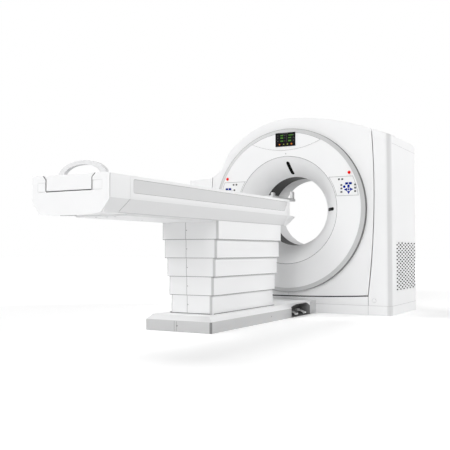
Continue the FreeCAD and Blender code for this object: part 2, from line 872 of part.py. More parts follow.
def end_cover():
    foot_y = tub_foot_y
    front_y = foot_y - end_bulge
    edge_y = foot_y - end_edge_t
    over_z = end_top_z + end_bulge
    under_z = end_dip_z - end_bulge
    outline = prism_xz((end_half, end_top_z), [(end_half, end_crease_z), (end_low_half, end_low_z),
                       ((0.0, end_dip_z), (-end_low_half, end_low_z)), (-end_half, end_crease_z),
                       (-end_half, end_top_z)], front_y, foot_y)
    bulge = prism_xy((-end_half, foot_y), [(-end_half, edge_y), ((0.0, front_y), (end_half, edge_y)),
                     (end_half, foot_y)], under_z, over_z)
    lean = prism_yz((front_y, end_crease_z), [(front_y, over_z), (foot_y, over_z), (foot_y, under_z),
                    (front_y + end_lean, under_z)], -end_half, end_half)
    opening = notch(notch_half, notch_z, over_z, front_y - 1.0, foot_y + 1.0)
    recess_y = foot_y - end_bulge / 2 + recess_depth
    recess = box(recess_x0, recess_x1, front_y - 1.0, recess_y, recess_z0, recess_z1)
    return outline.common(bulge).common(lean).cut([opening, recess, mirrored(recess)])


def tub_underside():
    half = underside_half
    low = half - underside_slant
    return prism_xz((half, tub_bottom_z), [(low, underside_z), (-low, underside_z), (-half, tub_bottom_z)],
                    underside_foot_y, shell_foot_y)


# ---- Cradle ---------------------------------------------------------------------------------------
def cradle():
    low = trough_z + slide_gap
    half = cradle_half
    dip = (0.0, cradle_top_z - cradle_dip)
    return prism_xz((half, low), [(half, cradle_top_z), (dip, (-half, cradle_top_z)), (-half, low)],
                    cradle_foot_y, cradle_far_y)


def cradle_end_block():
    """Fills the end cover's notch and carries the handle."""
    return notch(cradle_half, notch_z + 2.0, block_top_z, end_block_y, cradle_foot_y)


def half_ellipse(half, rise, y0, y1):
    """Upright half ellipse on the cradle's end block, as thick as y0 to y1."""
    centre = V(0, y0, block_top_z)
    curve = Part.Ellipse(V(half, y0, block_top_z), V(0, y0, block_top_z + rise), centre)
    arc = Part.ArcOfEllipse(curve, 0.0, math.pi).toShape()
    foot = Part.LineSegment(V(-half, y0, block_top_z), V(half, y0, block_top_z)).toShape()
    return Part.Face(Part.Wire([arc, foot])).extrude(Y_AXIS * (y1 - y0))


def cradle_handle():
    """Push handle: a flat elliptical arch that stands across the cradle's end block."""
    y0 = handle_y - handle_t / 2
    y1 = handle_y + handle_t / 2
    rise = handle_top_z - block_top_z
    outer = half_ellipse(handle_half, rise, y0, y1)
    return outer.cut(half_ellipse(handle_half - handle_leg, rise - handle_bar, y0 - 1.0, y1 + 1.0))


def head_plate():
    """Bracket on the cradle's far end and the flat plate it carries."""
    root_y = cradle_far_y + head_root_t
    return prism_yz((cradle_far_y, head_root_z), [(cradle_far_y, head_ramp_z),
                    (cradle_far_y + head_ramp, head_z1), (head_tip_y, head_z1), (head_tip_y, head_z0),
                    (root_y + head_under_run, head_z0), (root_y, head_z0 - head_under_drop),
                    (root_y, head_root_z)], -head_half, head_half)


def head_cheeks():
    y0 = head_tip_y - cheek_len
    x0 = cheek_x - cheek_t / 2
    x1 = cheek_x + cheek_t / 2
    z1 = head_z1 + cheek_h
    r = cheek_r
    cheek = prism_xz((x0, head_z1), [(x1, head_z1), (x1, z1 - r), corner_arc(x1 - r, z1 - r, r, 0.0, 90.0),
                     (x0 + r, z1), corner_arc(x0 + r, z1 - r, r, 90.0, 180.0)], y0, head_tip_y)
    return Part.makeCompound([cheek, mirrored(cheek)])


# ---- Pedestal -----------------------------------------------------------------------------------------
def shell_steps(index):
    """Insets of shell number index, 1 at the tub, from the first shell's outline."""
    return (index - 1) * shell_x_step, (index - 1) * shell_y_step


def shell_section(index, extra, z0, z1):
    """Pedestal sleeve section: straight sides, gently bulged ends, rounded corners."""
    dx, dy = shell_steps(index)
    x = shell_x - dx - extra
    y0 = shell_foot_y + dy + extra
    y1 = shell_far_y - dy - extra
    r = shell_corner_r
    b = shell_bulge
    k = r * (1.0 - math.sqrt(0.5))
    steps = [
        ((0.0, y0), (x - r, y0 + b)),
        ((x - k, y0 + b + k), (x, y0 + b + r)),
        (x, y1 - b - r),
        ((x - k, y1 - b - k), (x - r, y1 - b)),
        ((0.0, y1), (r - x, y1 - b)),
        ((k - x, y1 - b - k), (-x, y1 - b - r)),
        (-x, y0 + b + r),
        ((k - x, y0 + b + k), (r - x, y0 + b)),
    ]
    return prism_xy((r - x, y0 + b), steps, z0, z1)


def pedestal_shell(index):
    """One sleeve of the pedestal, open above and below, with its guide lip and end seam."""
    z0 = shell_bottom_z - (index - 1) * shell_visible
    top = tub_bottom_z if index == 1 else z0 + shell_visible + shell_overlap
    bottom = table_plate_t if index == shell_count else z0
    sleeve = shell_section(index, 0.0, bottom, top)
    if index > 1:
        reach = shell_x_step - shell_wall - slide_gap
        dx, dy = shell_steps(index)
        x = shell_x - dx
        y0 = shell_foot_y + dy + shell_bulge + shell_corner_r
        y1 = shell_far_y - dy - shell_bulge - shell_corner_r
        sleeve = sleeve.fuse(box(-x - reach, x + reach, y0, y1, top - shell_lip, top)).removeSplitter()
    hollow = shell_section(index, shell_wall, bottom - 1.0, top + 1.0)
    dy = shell_steps(index)[1]
    seam = box(-seam_w / 2, seam_w / 2, shell_foot_y + dy - 1.0, shell_foot_y + dy + 1.0, bottom - 1.0,
               z0 + shell_visible)
    return sleeve.cut([hollow, seam])


def column_stage(stage):
    """Lift column: stage 0 stands on the base, stage 2 carries the tub."""
    shrink = stage * (column_wall + slide_gap)
    hx = column_half_x - shrink
    hy = column_half_y - shrink
    z0 = table_plate_t + stage * (column_len - column_overlap)
    z1 = z0 + column_len
    if stage == 2:
        z1 = trough_z - tub_wall
    tube = box(-hx, hx, pedestal_y - hy, pedestal_y + hy, z0, z1)
    if stage == 2:
        tube = tube.fuse(box(-column_head_half_x, column_head_half_x, pedestal_y - column_head_half_y,
                         pedestal_y + column_head_half_y, z1 - column_head_t, z1)).removeSplitter()
        z1 = z1 - column_head_t - 1.0
    w = column_wall
    return tube.cut(box(w - hx, hx - w, pedestal_y - hy + w, pedestal_y + hy - w, z0 - 1.0, z1 + 1.0))


# ---- Table base -----------------------------------------------------------------------------------------
def base_block(inset):
    half = base_half - inset
    top = base_top_z - inset
    c = base_chamfer
    low = top - c
    y0 = base_foot_y + inset
    section = prism_xz((-half, 0.0), [(half, 0.0), (half, low), (half - c, top), (c - half, top),
                       (-half, low)], y0, base_far_y)
    side = prism_yz((y0, 0.0), [(y0, low), (y0 + c, top), (base_far_y, top), (base_far_y, 0.0)], -half, half)
    return section.common(side)


def bay_arch(inset, x0, x1):
    """Foot-switch bay seen from the side: a low arch that rises towards the gantry."""
    y0 = bay_foot_y + inset
    y1 = bay_far_y - inset
    r = bay_corner - inset
    floor = bay_floor_z + (inset if inset else 0.0)
    top = bay_mid_z - inset
    low = bay_low_z - inset
    steps = [
        (y0, low - r * 0.4),
        ((y0 + r * 0.3, low + r * 0.1), (y0 + r, low + r * 0.35)),
        (y0 + 7 * r, top - 1.0),
        (y1 - 1.6 * r, top),
        ((y1 - 0.45 * r, top - 0.35 * r), (y1, top - 1.4 * r)),
        (y1, floor),
    ]
    return prism_yz((y0, floor), steps, x0, x1)


def bay_envelope():
    return bay_arch(0.0, base_half - bay_depth, base_half + 5.0)


def base_cover(side):
    shell = base_block(0.0).cut(base_block(panel_wall))
    dx, dy = shell_steps(shell_count)
    half = shell_x - dx + slide_gap
    well_y0 = shell_foot_y + dy - slide_gap
    well = box(-half, half, well_y0, shell_far_y - dy + slide_gap, -1.0, base_top_z + 1.0)
    keep = box(0.0, base_half + 1.0, base_foot_y - 1.0, base_far_y + 1.0, -1.0, base_top_z + 1.0)
    if side < 0:
        return shell.cut(well).common(mirrored(keep))
    return shell.cut([well, bay_envelope()]).common(keep)


def pedal_bay():
    """Dark liner of the foot-switch bay with the pedals' pin across it."""
    back = base_half - bay_depth
    liner = bay_arch(0.0, back, base_half).cut(bay_arch(liner_wall, back + liner_wall, base_half + 1.0))
    pin = along_y(pedal_pin_r, pedal_pin_x, bay_foot_y + 1.0, bay_far_y - 1.0, pedal_pin_z)
    return liner.fuse(pin).common(base_block(0.0)).removeSplitter()


def pedal(y):
    """Foot lever: a boss on the pin, a bowed arm and a round nose at the bay's mouth."""
    y0 = y - pedal_w / 2
    y1 = y + pedal_w / 2
    half = pedal_t / 2
    mid_x = (pedal_pin_x + pedal_tip_x) / 2
    mid_z = (pedal_pin_z + pedal_tip_z) / 2 + pedal_bow
    root = (pedal_pin_x, pedal_pin_z - half)
    arm = prism_xz(root, [(pedal_pin_x, pedal_pin_z + half),
                   ((mid_x, mid_z + half), (pedal_tip_x, pedal_tip_z + half)),
                   (pedal_tip_x, pedal_tip_z - half), ((mid_x, mid_z - half), root)], y0, y1)
    boss = box(pedal_pin_x - pedal_boss, pedal_pin_x + pedal_boss, y0, y1, pedal_pin_z - pedal_boss,
               pedal_pin_z + pedal_boss)
    nose = along_y(pedal_nose_r, pedal_tip_x, y0, y1, pedal_tip_z)
    bore = along_y(pedal_pin_r + running_clearance, pedal_pin_x, y0 - 1.0, y1 + 1.0, pedal_pin_z)
    return boss.fuse([arm, nose]).cut(bore).removeSplitter()


def bridge_cover():
    outer = box(-base_half, base_half, base_far_y, body_front_y, 0.0, bridge_top_z)
    rim = [e for e in outer.Edges if e.BoundBox.ZMin > bridge_top_z - 1.0 and e.BoundBox.YLength > 1.0]
    outer = outer.makeFillet(bridge_edge_r, rim)
    w = panel_wall
    half = base_half - w
    return outer.cut(box(-half, half, base_far_y + w, body_front_y - w, -1.0, bridge_top_z - w))


def table_base_plate():
    half = table_plate_half
    plate_y = base_foot_y + table_plate_foot_in
    plate = box(-half, half, plate_y, base_far_y - table_plate_far_in, 0.0, table_plate_t)
    bay_x = base_half - bay_depth - bay_clearance
    bay_y = bay_foot_y - bay_clearance
    cuts = [box(bay_x, base_half, bay_y, base_far_y + 1.0, -1.0, table_plate_t + 1.0)]
    for x in (-table_anchor_x, table_anchor_x):
        for y in (table_anchor_y0, table_anchor_y1):
            cuts.append(Part.makeCylinder(anchor_r, table_plate_t + 2.0, V(x, y, -1.0), Z_AXIS))
    return plate.cut(cuts)


# ---- All pieces ------------------------------------------------------------------------------------
def pieces():
    out = {
        "gantry_floor_frame": floor_frame(),
        "stand_right": stand(),
        "stand_left": mirrored(stand()),
        "front_plinth": front_plinth(),
        "lower_plinth": lower_plinth(),
        "rear_plinth": rear_plinth(),
        "skirt_right": skirt(tower_right_x),
        "skirt_left": mirrored(skirt(tower_left_x)),
        "tower_cover_right": right_tower_cover(),
        "tower_cap_right": right_tower_cap(),
        "tower_cover_left": left_tower_cover(),
        "side_vent_grille": vent_grille(),
        "tilt_frame": tilt_frame(),
        "body_shell": body_shell(),
        "rear_cover": rear_cover(),
        "disc_face": disc_face(),
        "disc_rim": disc_rim(),
        "disc_crest": disc_crest(),
        "display_screen": display_screen(),
        "control_panel_left": control_panel(-1),
        "control_panel_right": control_panel(1),
        "front_funnel": front_funnel(),
        "laser_windows": laser_windows(),
        "scan_window": scan_window(),
        "rear_bore": rear_bore(),
        "rear_funnel": rear_funnel(),
        "main_bearing": main_bearing(),
        "rotor_drum": rotor_drum(),
        "xray_tube_unit": tube_unit(),
        "detector_arc": detector_arc(),
        "stop_button_left": stop_button(-1),
        "stop_button_right": stop_button(1),
        "tub_pan": tub_pan(),
        "side_strip_left": side_strip(-1),
        "side_strip_right": side_strip(1),
        "side_block_left": side_block(-1),
        "side_block_right": side_block(1),
        "tub_nose": tub_nose(),
        "end_cover": end_cover(),
        "tub_underside": tub_underside(),
        "cradle": cradle(),
        "cradle_end_block": cradle_end_block(),
        "cradle_handle": cradle_handle(),
        "head_plate": head_plate(),
        "head_cheeks": head_cheeks(),
        "lift_column_outer": column_stage(0),
        "lift_column_middle": column_stage(1),
        "lift_column_inner": column_stage(2),
        "base_cover_left": base_cover(-1),
        "base_cover_right": base_cover(1),
        "pedal_bay": pedal_bay(),
        "pedal_foot": pedal(pedal_y[0]),
        "pedal_head": pedal(pedal_y[1]),
        "bridge_cover": bridge_cover(),
        "table_base_plate": table_base_plate(),
    }
    for index in range(1, shell_count + 1):
        out["pedestal_shell_%d" % index] = pedestal_shell(index)
    return out


os.makedirs("parts", exist_ok=True)
for node, shape in pieces().items():
    if not shape.isValid():
        print("not valid:", node)
    print("%-22s solids %d  volume %.1f cm3" % (node, len(shape.Solids), shape.Volume / 1000.0))
    shape.exportStep("parts/%s.step" % node)
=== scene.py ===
import bmesh
import bpy
import json
import math
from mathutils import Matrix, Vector


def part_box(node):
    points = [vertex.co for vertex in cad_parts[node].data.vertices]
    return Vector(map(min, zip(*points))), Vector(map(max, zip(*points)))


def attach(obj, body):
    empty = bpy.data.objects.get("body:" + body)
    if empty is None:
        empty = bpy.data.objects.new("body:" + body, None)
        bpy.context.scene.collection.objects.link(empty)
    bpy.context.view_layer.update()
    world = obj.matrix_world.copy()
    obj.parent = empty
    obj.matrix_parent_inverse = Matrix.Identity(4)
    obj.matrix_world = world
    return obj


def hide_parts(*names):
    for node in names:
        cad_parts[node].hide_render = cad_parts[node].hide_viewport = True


# Looks of the computed-tomography scanner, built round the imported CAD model. Everything is in
# metres and in the model's own frame: the table's end looks towards -Y, +X is its right.

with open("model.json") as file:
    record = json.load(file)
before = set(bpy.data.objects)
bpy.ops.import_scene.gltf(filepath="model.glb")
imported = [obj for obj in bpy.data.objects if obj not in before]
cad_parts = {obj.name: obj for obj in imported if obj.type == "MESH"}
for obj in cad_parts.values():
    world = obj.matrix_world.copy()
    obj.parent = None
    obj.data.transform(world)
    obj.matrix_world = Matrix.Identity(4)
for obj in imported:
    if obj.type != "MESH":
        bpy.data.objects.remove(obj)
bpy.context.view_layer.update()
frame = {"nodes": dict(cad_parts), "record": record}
nodes = frame["nodes"]
slot_of = {part["node"]: part["material_slot"] for part in frame["record"]["subparts"]}
MM = 0.001

# ---- Camera of the photograph -------------------------------------------------------------------
FOCAL_PX = 701.0
IMAGE_PX = 450.0
SENSOR_MM = 36.0
CAMERA_YAW = math.radians(29.4)
CAMERA_PITCH = math.radians(2.12)
CAMERA_AT = (2.886, -6.693, 0.603)
CAMERA_REACH = 200.0

# ---- Light --------------------------------------------------------------------------------------
SKY_LEVEL = 0.05
FLOOR_SIZE = 80.0
FLOOR_COLOUR = 0.88
FLOOR_GLOW = (0.28, 1.0)        # glow near the object and far from it
FLOOR_GLOW_AT = (4.0, 14.0)     # the two distances
LAMPS_TOWARDS = (0.0, -0.8, 0.9)
LAMPS = (
    # name, place, diameter, watts
    ("front", (1.0, -19.6, 7.6), 17.0, 2900.0),
    ("left_top", (-12.0, -1.2, 16.0), 10.0, 2100.0),
    ("right_rear", (22.0, 18.0, 11.5), 9.0, 6300.0),
)

# ---- Materials ----------------------------------------------------------------------------------
MOTTLE_SCALE = 2.5
MOTTLE_DEPTH = 0.03             # how much darker the darkest patch is
GRAIN_SCALE = 700.0
GRAIN_STRENGTH = 0.04
GRAIN_HEIGHT = 0.2 * MM
ROUGH_SPREAD = 0.04
NOISE_DETAIL = 2.0


def finish(name, colour, rough, metallic=0.0, gloss=0.5):
    """A moulded or painted finish: broad mottling in its colour, fine grain in its relief."""
    mat = bpy.data.materials.new(name)
    mat.use_nodes = True
    tree = mat.node_tree
    shader = tree.nodes["Principled BSDF"]
    shader.inputs["Metallic"].default_value = metallic
    shader.inputs["Specular IOR Level"].default_value = gloss
    coords = tree.nodes.new("ShaderNodeTexCoord")
    broad = tree.nodes.new("ShaderNodeTexNoise")
    broad.inputs["Scale"].default_value = MOTTLE_SCALE
    broad.inputs["Detail"].default_value = NOISE_DETAIL
    tint = tree.nodes.new("ShaderNodeMix")
    tint.data_type = "RGBA"
    tint.inputs["A"].default_value = (*[c * (1.0 - MOTTLE_DEPTH) for c in colour], 1.0)
    tint.inputs["B"].default_value = (*colour, 1.0)
    fine = tree.nodes.new("ShaderNodeTexNoise")
    fine.inputs["Scale"].default_value = GRAIN_SCALE
    fine.inputs["Detail"].default_value = NOISE_DETAIL
    spread = tree.nodes.new("ShaderNodeMapRange")
    spread.inputs["To Min"].default_value = rough - ROUGH_SPREAD
    spread.inputs["To Max"].default_value = rough + ROUGH_SPREAD
    relief = tree.nodes.new("ShaderNodeBump")
    relief.inputs["Strength"].default_value = GRAIN_STRENGTH
    relief.inputs["Distance"].default_value = GRAIN_HEIGHT
    link = tree.links.new
    link(coords.outputs["Object"], broad.inputs["Vector"])
    link(coords.outputs["Object"], fine.inputs["Vector"])
    link(broad.outputs["Fac"], tint.inputs["Factor"])
    link(tint.outputs["Result"], shader.inputs["Base Color"])
    link(fine.outputs["Fac"], spread.inputs["Value"])
    link(spread.outputs["Result"], shader.inputs["Roughness"])
    link(fine.outputs["Fac"], relief.inputs["Height"])
    link(relief.outputs["Normal"], shader.inputs["Normal"])
    return mat


def grey(level):
    """A grey that leans a little to blue."""
    return (level, level * 1.003, level * 1.008)


# One finish for each material slot of the record.
FINISHES = {
    "cover_white": finish("cover_white", grey(0.90), 0.45, gloss=0.25),
    "rim_grey": finish("rim_grey", grey(0.61), 0.5, gloss=0.25),
    "panel_white": finish("panel_white", grey(0.88), 0.6),
    "screen_black": finish("screen_black", grey(0.004), 0.18, gloss=0.12),
    "window_dark": finish("window_dark", grey(0.02), 0.5, gloss=0.1),
    "laser_black": finish("laser_black", grey(0.002), 0.4, gloss=0.05),
    "stop_red": finish("stop_red", (0.86, 0.0, 0.0), 0.4, gloss=0.15),
    "strip_grey": finish("strip_grey", grey(0.68), 0.65),
    "table_white": finish("table_white", grey(0.90), 0.5, gloss=0.25),
    "cradle_grey": finish("cradle_grey", grey(0.68), 0.55),
    "base_grey": finish("base_grey", grey(0.56), 0.5),
    "bay_black": finish("bay_black", grey(0.26), 0.6, gloss=0.15),
    "pedal_white": finish("pedal_white", grey(0.86), 0.4),
    "vent_dark": finish("vent_dark", grey(0.84), 0.5),
    "frame_steel": finish("frame_steel", grey(0.09), 0.5, metallic=0.2),
    "bearing_steel": finish("bearing_steel", grey(0.42), 0.3, metallic=0.9),
    "rotor_alu": finish("rotor_alu", grey(0.5), 0.35, metallic=0.9),
    "column_alu": finish("column_alu", grey(0.5), 0.35, metallic=0.9),
    "tube_steel": finish("tube_steel", grey(0.5), 0.4, metallic=0.3),
}
# Joints, prints and screws, and painted shade for gaps and hollows.
# Dark grey for the base's corner strip, and painted shade on the rim's outer wall.
EDGE_DARK = finish("edge_dark", grey(0.20), 0.6)
JOINT_DARK = finish("joint_dark", grey(0.05), 0.8, gloss=0.1)
JOINT_GREY = finish("joint_grey", grey(0.26), 0.8, gloss=0.2)
PANEL_JOINT = finish("panel_joint", grey(0.45), 0.8, gloss=0.2)
SEAM_LIGHT = finish("seam_light", grey(0.60), 0.8)
# Black painted shade, for gaps and the hollow behind the vent.
GAP_SHADE = finish("gap_shade", grey(0.004), 0.9, gloss=0.0)
KEY_GREY = finish("key_grey", grey(0.12), 0.5, gloss=0.1)
KEY_BLUE = finish("key_blue", (0.0, 0.022, 0.30), 0.5, gloss=0.05)
SCREW = finish("screw_steel", grey(0.28), 0.4, metallic=0.6)
LINE_GREEN = finish("line_green", (0.06, 0.20, 0.02), 0.5, gloss=0.1)
LINE_GREY = finish("line_grey", grey(0.08), 0.5, gloss=0.1)
ICON_ORANGE = finish("icon_orange", (0.55, 0.15, 0.01), 0.5, gloss=0.1)
ICON_OLIVE = finish("icon_olive", (0.20, 0.24, 0.04), 0.5, gloss=0.1)
# Whites with painted shade on single pieces, on slanted faces and on corners, and the base's white
# top.
TUB_SHADE = finish("tub_shade", grey(0.78), 0.5, gloss=0.25)
END_WHITE_SHADED = finish("end_white_shaded", grey(0.81), 0.5, gloss=0.25)
BASE_END_TOP_SHADED = finish("base_end_top_shaded", grey(0.72), 0.5, gloss=0.25)
SLEEVE_CORNER_SHADE = finish("sleeve_corner_shade", grey(0.65), 0.5, gloss=0.25)
TOWER_CORNER_SHADE = finish("tower_corner_shade", grey(0.80), 0.5, gloss=0.25)
HANDLE_WHITE_SHADED = finish("handle_white_shaded", grey(0.74), 0.5, gloss=0.25)
BASE_TOP = finish("base_top", grey(0.90), 0.5, gloss=0.25)

# ---- Mesh helpers -------------------------------------------------------------------------------
# How far prints and trim stand over the face that carries them.
LINE_LIFT = 0.3 * MM
STRIP_LIFT = 0.4 * MM
KEY_LIFT = 0.5 * MM
SCREW_LIFT = 0.6 * MM
# Widths of joints and seams.
FINE_LINE = 0.002
CREST_LINE = 0.0022
SEAM_LINE = 0.003
JOINT_LINE = 0.0035
RIM_LINE = 0.004
PANEL_LINE = 0.0045
TUB_LINE = 0.005
FOOT_LINE = 0.006

JOINT_SUNK = 0.5 * MM           # how deep a turned joint reaches into its face

RING_STEPS = 288                # segments of a large turned piece
KNOB_STEPS = 48                 # segments of a small one
SMOOTH_TURNED = 30.0            # edges flatter than this, in degrees, are shaded smooth
SMOOTH_PACKED = 50.0


def piece(name, verts, faces, material, body):
    """A piece of the scene that rides on a CAD body."""
    mesh = bpy.data.meshes.new(name)
    mesh.from_pydata([tuple(v) for v in verts], [], faces)
    mesh.validate()
    mesh.update()
    mesh.materials.append(material)
    obj = bpy.data.objects.new(name, mesh)
    bpy.context.collection.objects.link(obj)
    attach(obj, body)
    return obj


def turn_outward(obj):
    """Turns every face of a closed piece away from its inside. Returns the piece."""
    work = bmesh.new()
    work.from_mesh(obj.data)
    bmesh.ops.recalc_face_normals(work, faces=work.faces)
    work.to_mesh(obj.data)
    work.free()
    return obj


def slab(name, outline, place, low, high, material, body):
    """A flat outline given thickness. place turns (u, v, depth) into a point."""
    count = len(outline)
    verts = [place(u, v, low) for u, v in outline] + [place(u, v, high) for u, v in outline]
    faces = [list(range(count)), list(range(2 * count - 1, count - 1, -1))]
    for i in range(count):
        j = (i + 1) % count
        faces.append([i, i + count, j + count, j])
    return turn_outward(piece(name, verts, faces, material, body))


def facing_front(y):
    """Places an outline of (x, z) on an upright face that looks towards -Y."""
    return lambda u, v, depth: Vector((u, y - depth, v))


def facing_right(x):
    """Places an outline of (y, z) on an upright face that looks towards +X."""
    return lambda u, v, depth: Vector((x + depth, u, v))


def facing_down(z):
    """Places an outline of (x, y) on a face that looks down."""
    return lambda u, v, depth: Vector((u, v, z - depth))


def rectangle(u, v, width, height, radius=0.0, steps=5):
    """Outline of a rectangle about a centre, its corners round where a radius is given."""
    hw = width / 2
    hh = height / 2
    if radius <= 0.0:
        return [(u - hw, v - hh), (u + hw, v - hh), (u + hw, v + hh), (u - hw, v + hh)]
    points = []
    for sx, sy, start in ((1, -1, -90.0), (1, 1, 0.0), (-1, 1, 90.0), (-1, -1, 180.0)):
        for k in range(steps + 1):
            a = math.radians(start + 90.0 * k / steps)
            points.append((u + sx * (hw - radius) + radius * math.cos(a),
                           v + sy * (hh - radius) + radius * math.sin(a)))
    return points


def circle(u, v, radius, steps=32):
    """Outline of a circle about a centre."""
    turns = [math.tau * k / steps for k in range(steps)]
    return [(u + radius * math.cos(a), v + radius * math.sin(a)) for a in turns]


def triangle(u, v, width, height, turn):
    """Outline of a triangle about a centre. At a turn of 0 it points along u."""
    a = math.radians(turn)
    points = [(height / 2, 0.0), (-height / 2, width / 2), (-height / 2, -width / 2)]
    return [(u + p * math.cos(a) - q * math.sin(a), v + p * math.sin(a) + q * math.cos(a))
            for p, q in points]


def lathe(name, profile, centre, material, body, segments):
    """Turns a closed profile of (radius, distance along the axis) about an axis along Y."""
    verts = []
    for k in range(segments):
        a = math.tau * k / segments
        for r, d in profile:
            verts.append((centre[0] + r * math.cos(a), centre[1] + d,
                          centre[2] + r * math.sin(a)))
    rows = len(profile)
    faces = []
    for k in range(segments):
        n = (k + 1) % segments
        for i in range(rows):
            j = (i + 1) % rows
            faces.append([k * rows + i, k * rows + j, n * rows + j, n * rows + i])
    obj = turn_outward(piece(name, verts, faces, material, body))
    smooth(obj, SMOOTH_TURNED)
    return obj


def arc(a, mid, b, steps):
    """Points on the circle from a through mid to b, both ends included."""
    d = 2 * (a[0] * (mid[1] - b[1]) + mid[0] * (b[1] - a[1]) + b[0] * (a[1] - mid[1]))
    sq = [p[0] ** 2 + p[1] ** 2 for p in (a, mid, b)]
    cx = (sq[0] * (mid[1] - b[1]) + sq[1] * (b[1] - a[1]) + sq[2] * (a[1] - mid[1])) / d
    cy = (sq[0] * (b[0] - mid[0]) + sq[1] * (a[0] - b[0]) + sq[2] * (mid[0] - a[0])) / d
    r = math.hypot(a[0] - cx, a[1] - cy)
    start, middle, end = (math.atan2(p[1] - cy, p[0] - cx) for p in (a, mid, b))
    turn = (end - start + math.pi) % math.tau - math.pi
    half = (middle - start + math.pi) % math.tau - math.pi
    if half * turn < 0:
        turn -= math.copysign(math.tau, turn)
    return [(cx + r * math.cos(start + turn * k / steps),
             cy + r * math.sin(start + turn * k / steps)) for k in range(steps + 1)]


def ribbon(name, points, normal, width, material, body):
    """Thin line laid over a face along some points."""
    normal = Vector(normal).normalized()
    points = [Vector(p) for p in points]
    verts = []
    for k, point in enumerate(points):
        along = (points[min(k + 1, len(points) - 1)] - points[max(k - 1, 0)]).normalized()
        side = normal.cross(along) * (width / 2)
        verts += [point - side + normal * LINE_LIFT, point + side + normal * LINE_LIFT]
    faces = [[2 * k, 2 * k + 2, 2 * k + 3, 2 * k + 1] for k in range(len(points) - 1)]
    return piece(name, verts, faces, material, body)


def spot(point):
    """A point as a key that equal points share."""
    return tuple(round(c, 5) for c in point)


def edge_line(name, node, on_face, on_edge, width, material, body):
    """Thin line just inside the outline of the faces of a node that are picked.

    on_face picks the faces, and on_edge picks edges of their outline by their middle.
    """
    mesh = nodes[node].data
    at = [v.co.copy() for v in mesh.vertices]
    picked = [face for face in mesh.polygons if on_face(face)]
    used = {}
    for face in picked:
        for a, b in face.edge_keys:
            key = frozenset((spot(at[a]), spot(at[b])))
            used[key] = used.get(key, 0) + 1
    verts = []
    faces = []
    for face in picked:
        for a, b in face.edge_keys:
            start, end = at[a], at[b]
            middle = (start + end) / 2
            if used[frozenset((spot(start), spot(end)))] > 1 or not on_edge(middle):
                continue
            inward = face.normal.cross(end - start).normalized()
            if inward.dot(face.center - middle) < 0.0:
                inward = -inward
                start, end = end, start
            first = len(verts)
            for point in (start, end, end + inward * width, start + inward * width):
                verts.append(point + face.normal * LINE_LIFT)
            faces.append([first, first + 1, first + 2, first + 3])
    return piece(name, verts, faces, material, body)


def anywhere(point):
    return True


def above(z):
    return lambda point: point.z > z


def below(z):
    return lambda point: point.z < z


def looks(x, y, z):
    """Picks the faces that look one way."""
    way = Vector((x, y, z))
    return lambda face: face.normal.dot(way) > 0.9


def upright(face):
    return abs(face.normal.z) < 0.3


def slants_under(face):
    """Picks the slanted faces along the underside of the tub."""
    return -0.9 < face.normal.z < -0.1 and abs(face.normal.x) > 0.3


def paint(node, material, on_face):
    """Gives the picked faces of a node a material of their own."""
    mesh = nodes[node].data
    mesh.materials.append(material)
    for face in mesh.polygons:
        if on_face(face):
            face.material_index = len(mesh.materials) - 1


def smooth_group():
    """Geometry nodes that shade smooth every edge flatter than an angle."""
    group = bpy.data.node_groups.new("smooth_below_angle", "GeometryNodeTree")
    group.interface.new_socket("Geometry", in_out="INPUT", socket_type="NodeSocketGeometry")
    group.interface.new_socket("Angle", in_out="INPUT", socket_type="NodeSocketFloat")
    group.interface.new_socket("Geometry", in_out="OUTPUT", socket_type="NodeSocketGeometry")
    source = group.nodes.new("NodeGroupInput")
    sink = group.nodes.new("NodeGroupOutput")
    angle = group.nodes.new("GeometryNodeInputMeshEdgeAngle")
    flatter = group.nodes.new("FunctionNodeCompare")
    flatter.operation = "LESS_EQUAL"
    faces = group.nodes.new("GeometryNodeSetShadeSmooth")
    edges = group.nodes.new("GeometryNodeSetShadeSmooth")
    edges.domain = "EDGE"
    link = group.links.new
    link(source.outputs["Geometry"], faces.inputs["Geometry"])
    link(faces.outputs["Geometry"], edges.inputs["Geometry"])
    link(angle.outputs["Unsigned Angle"], flatter.inputs["A"])
    link(source.outputs["Angle"], flatter.inputs["B"])
    link(flatter.outputs["Result"], edges.inputs["Shade Smooth"])
    link(edges.outputs["Geometry"], sink.inputs["Geometry"])
    return group


SMOOTH = smooth_group()


def smooth(obj, degrees):
    """Shades smooth every edge of a piece that is flatter than an angle."""
    mod = obj.modifiers.new("smooth", "NODES")
    mod.node_group = SMOOTH
    mod["Socket_1"] = math.radians(degrees)


# ---- Sizes of the object ------------------------------------------------------------------------
window_low, window_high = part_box("scan_window")
ISO_Z = (window_low.z + window_high.z) / 2
THROAT_Y = window_low.y
FACE_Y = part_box("disc_face")[0].y
BODY_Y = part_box("body_shell")[0].y
RIM_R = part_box("disc_rim")[1].x
RIM_WALL_BAND = 1.5 * MM        # faces this near the rim's radius are its outer wall
RIM_EDGE_BAND = 1.0 * MM        # and edges this near it are that wall's
BORE_CENTRE = (0.0, 0.0, ISO_Z)
BORE_R = 0.350

FUNNEL_R = 0.532
FUNNEL_MID = (0.428, -0.233)    # radius and depth of a point halfway along the funnel's curve
FUNNEL_WALL = 0.005
FUNNEL_GROOVE = (0.001, 0.0015)  # the mouth's gap to the disc, and how far it lies behind its face
FUNNEL_STEPS = 28               # segments of the curve as modelled
LOOKUP_STEPS = 60               # and as looked up for the windows

WINDOW_PROUD = 0.6 * MM         # how far a window's front stands over the funnel
WINDOW_SUNK = -1.0 * MM         # and its back
WINDOW_ROWS = 24
WINDOW_ROUND = 0.45             # share of its width over which a window's end is round
WINDOW_BLUNT = 0.12             # and how blunt the tip is
TOP_WINDOW_WIDTH = 0.036
SIDE_WINDOW_WIDTH = 0.032
SIDE_WINDOW_SHORTER = 0.012

STOP_HEAD = 0.011               # length of a stop button's head

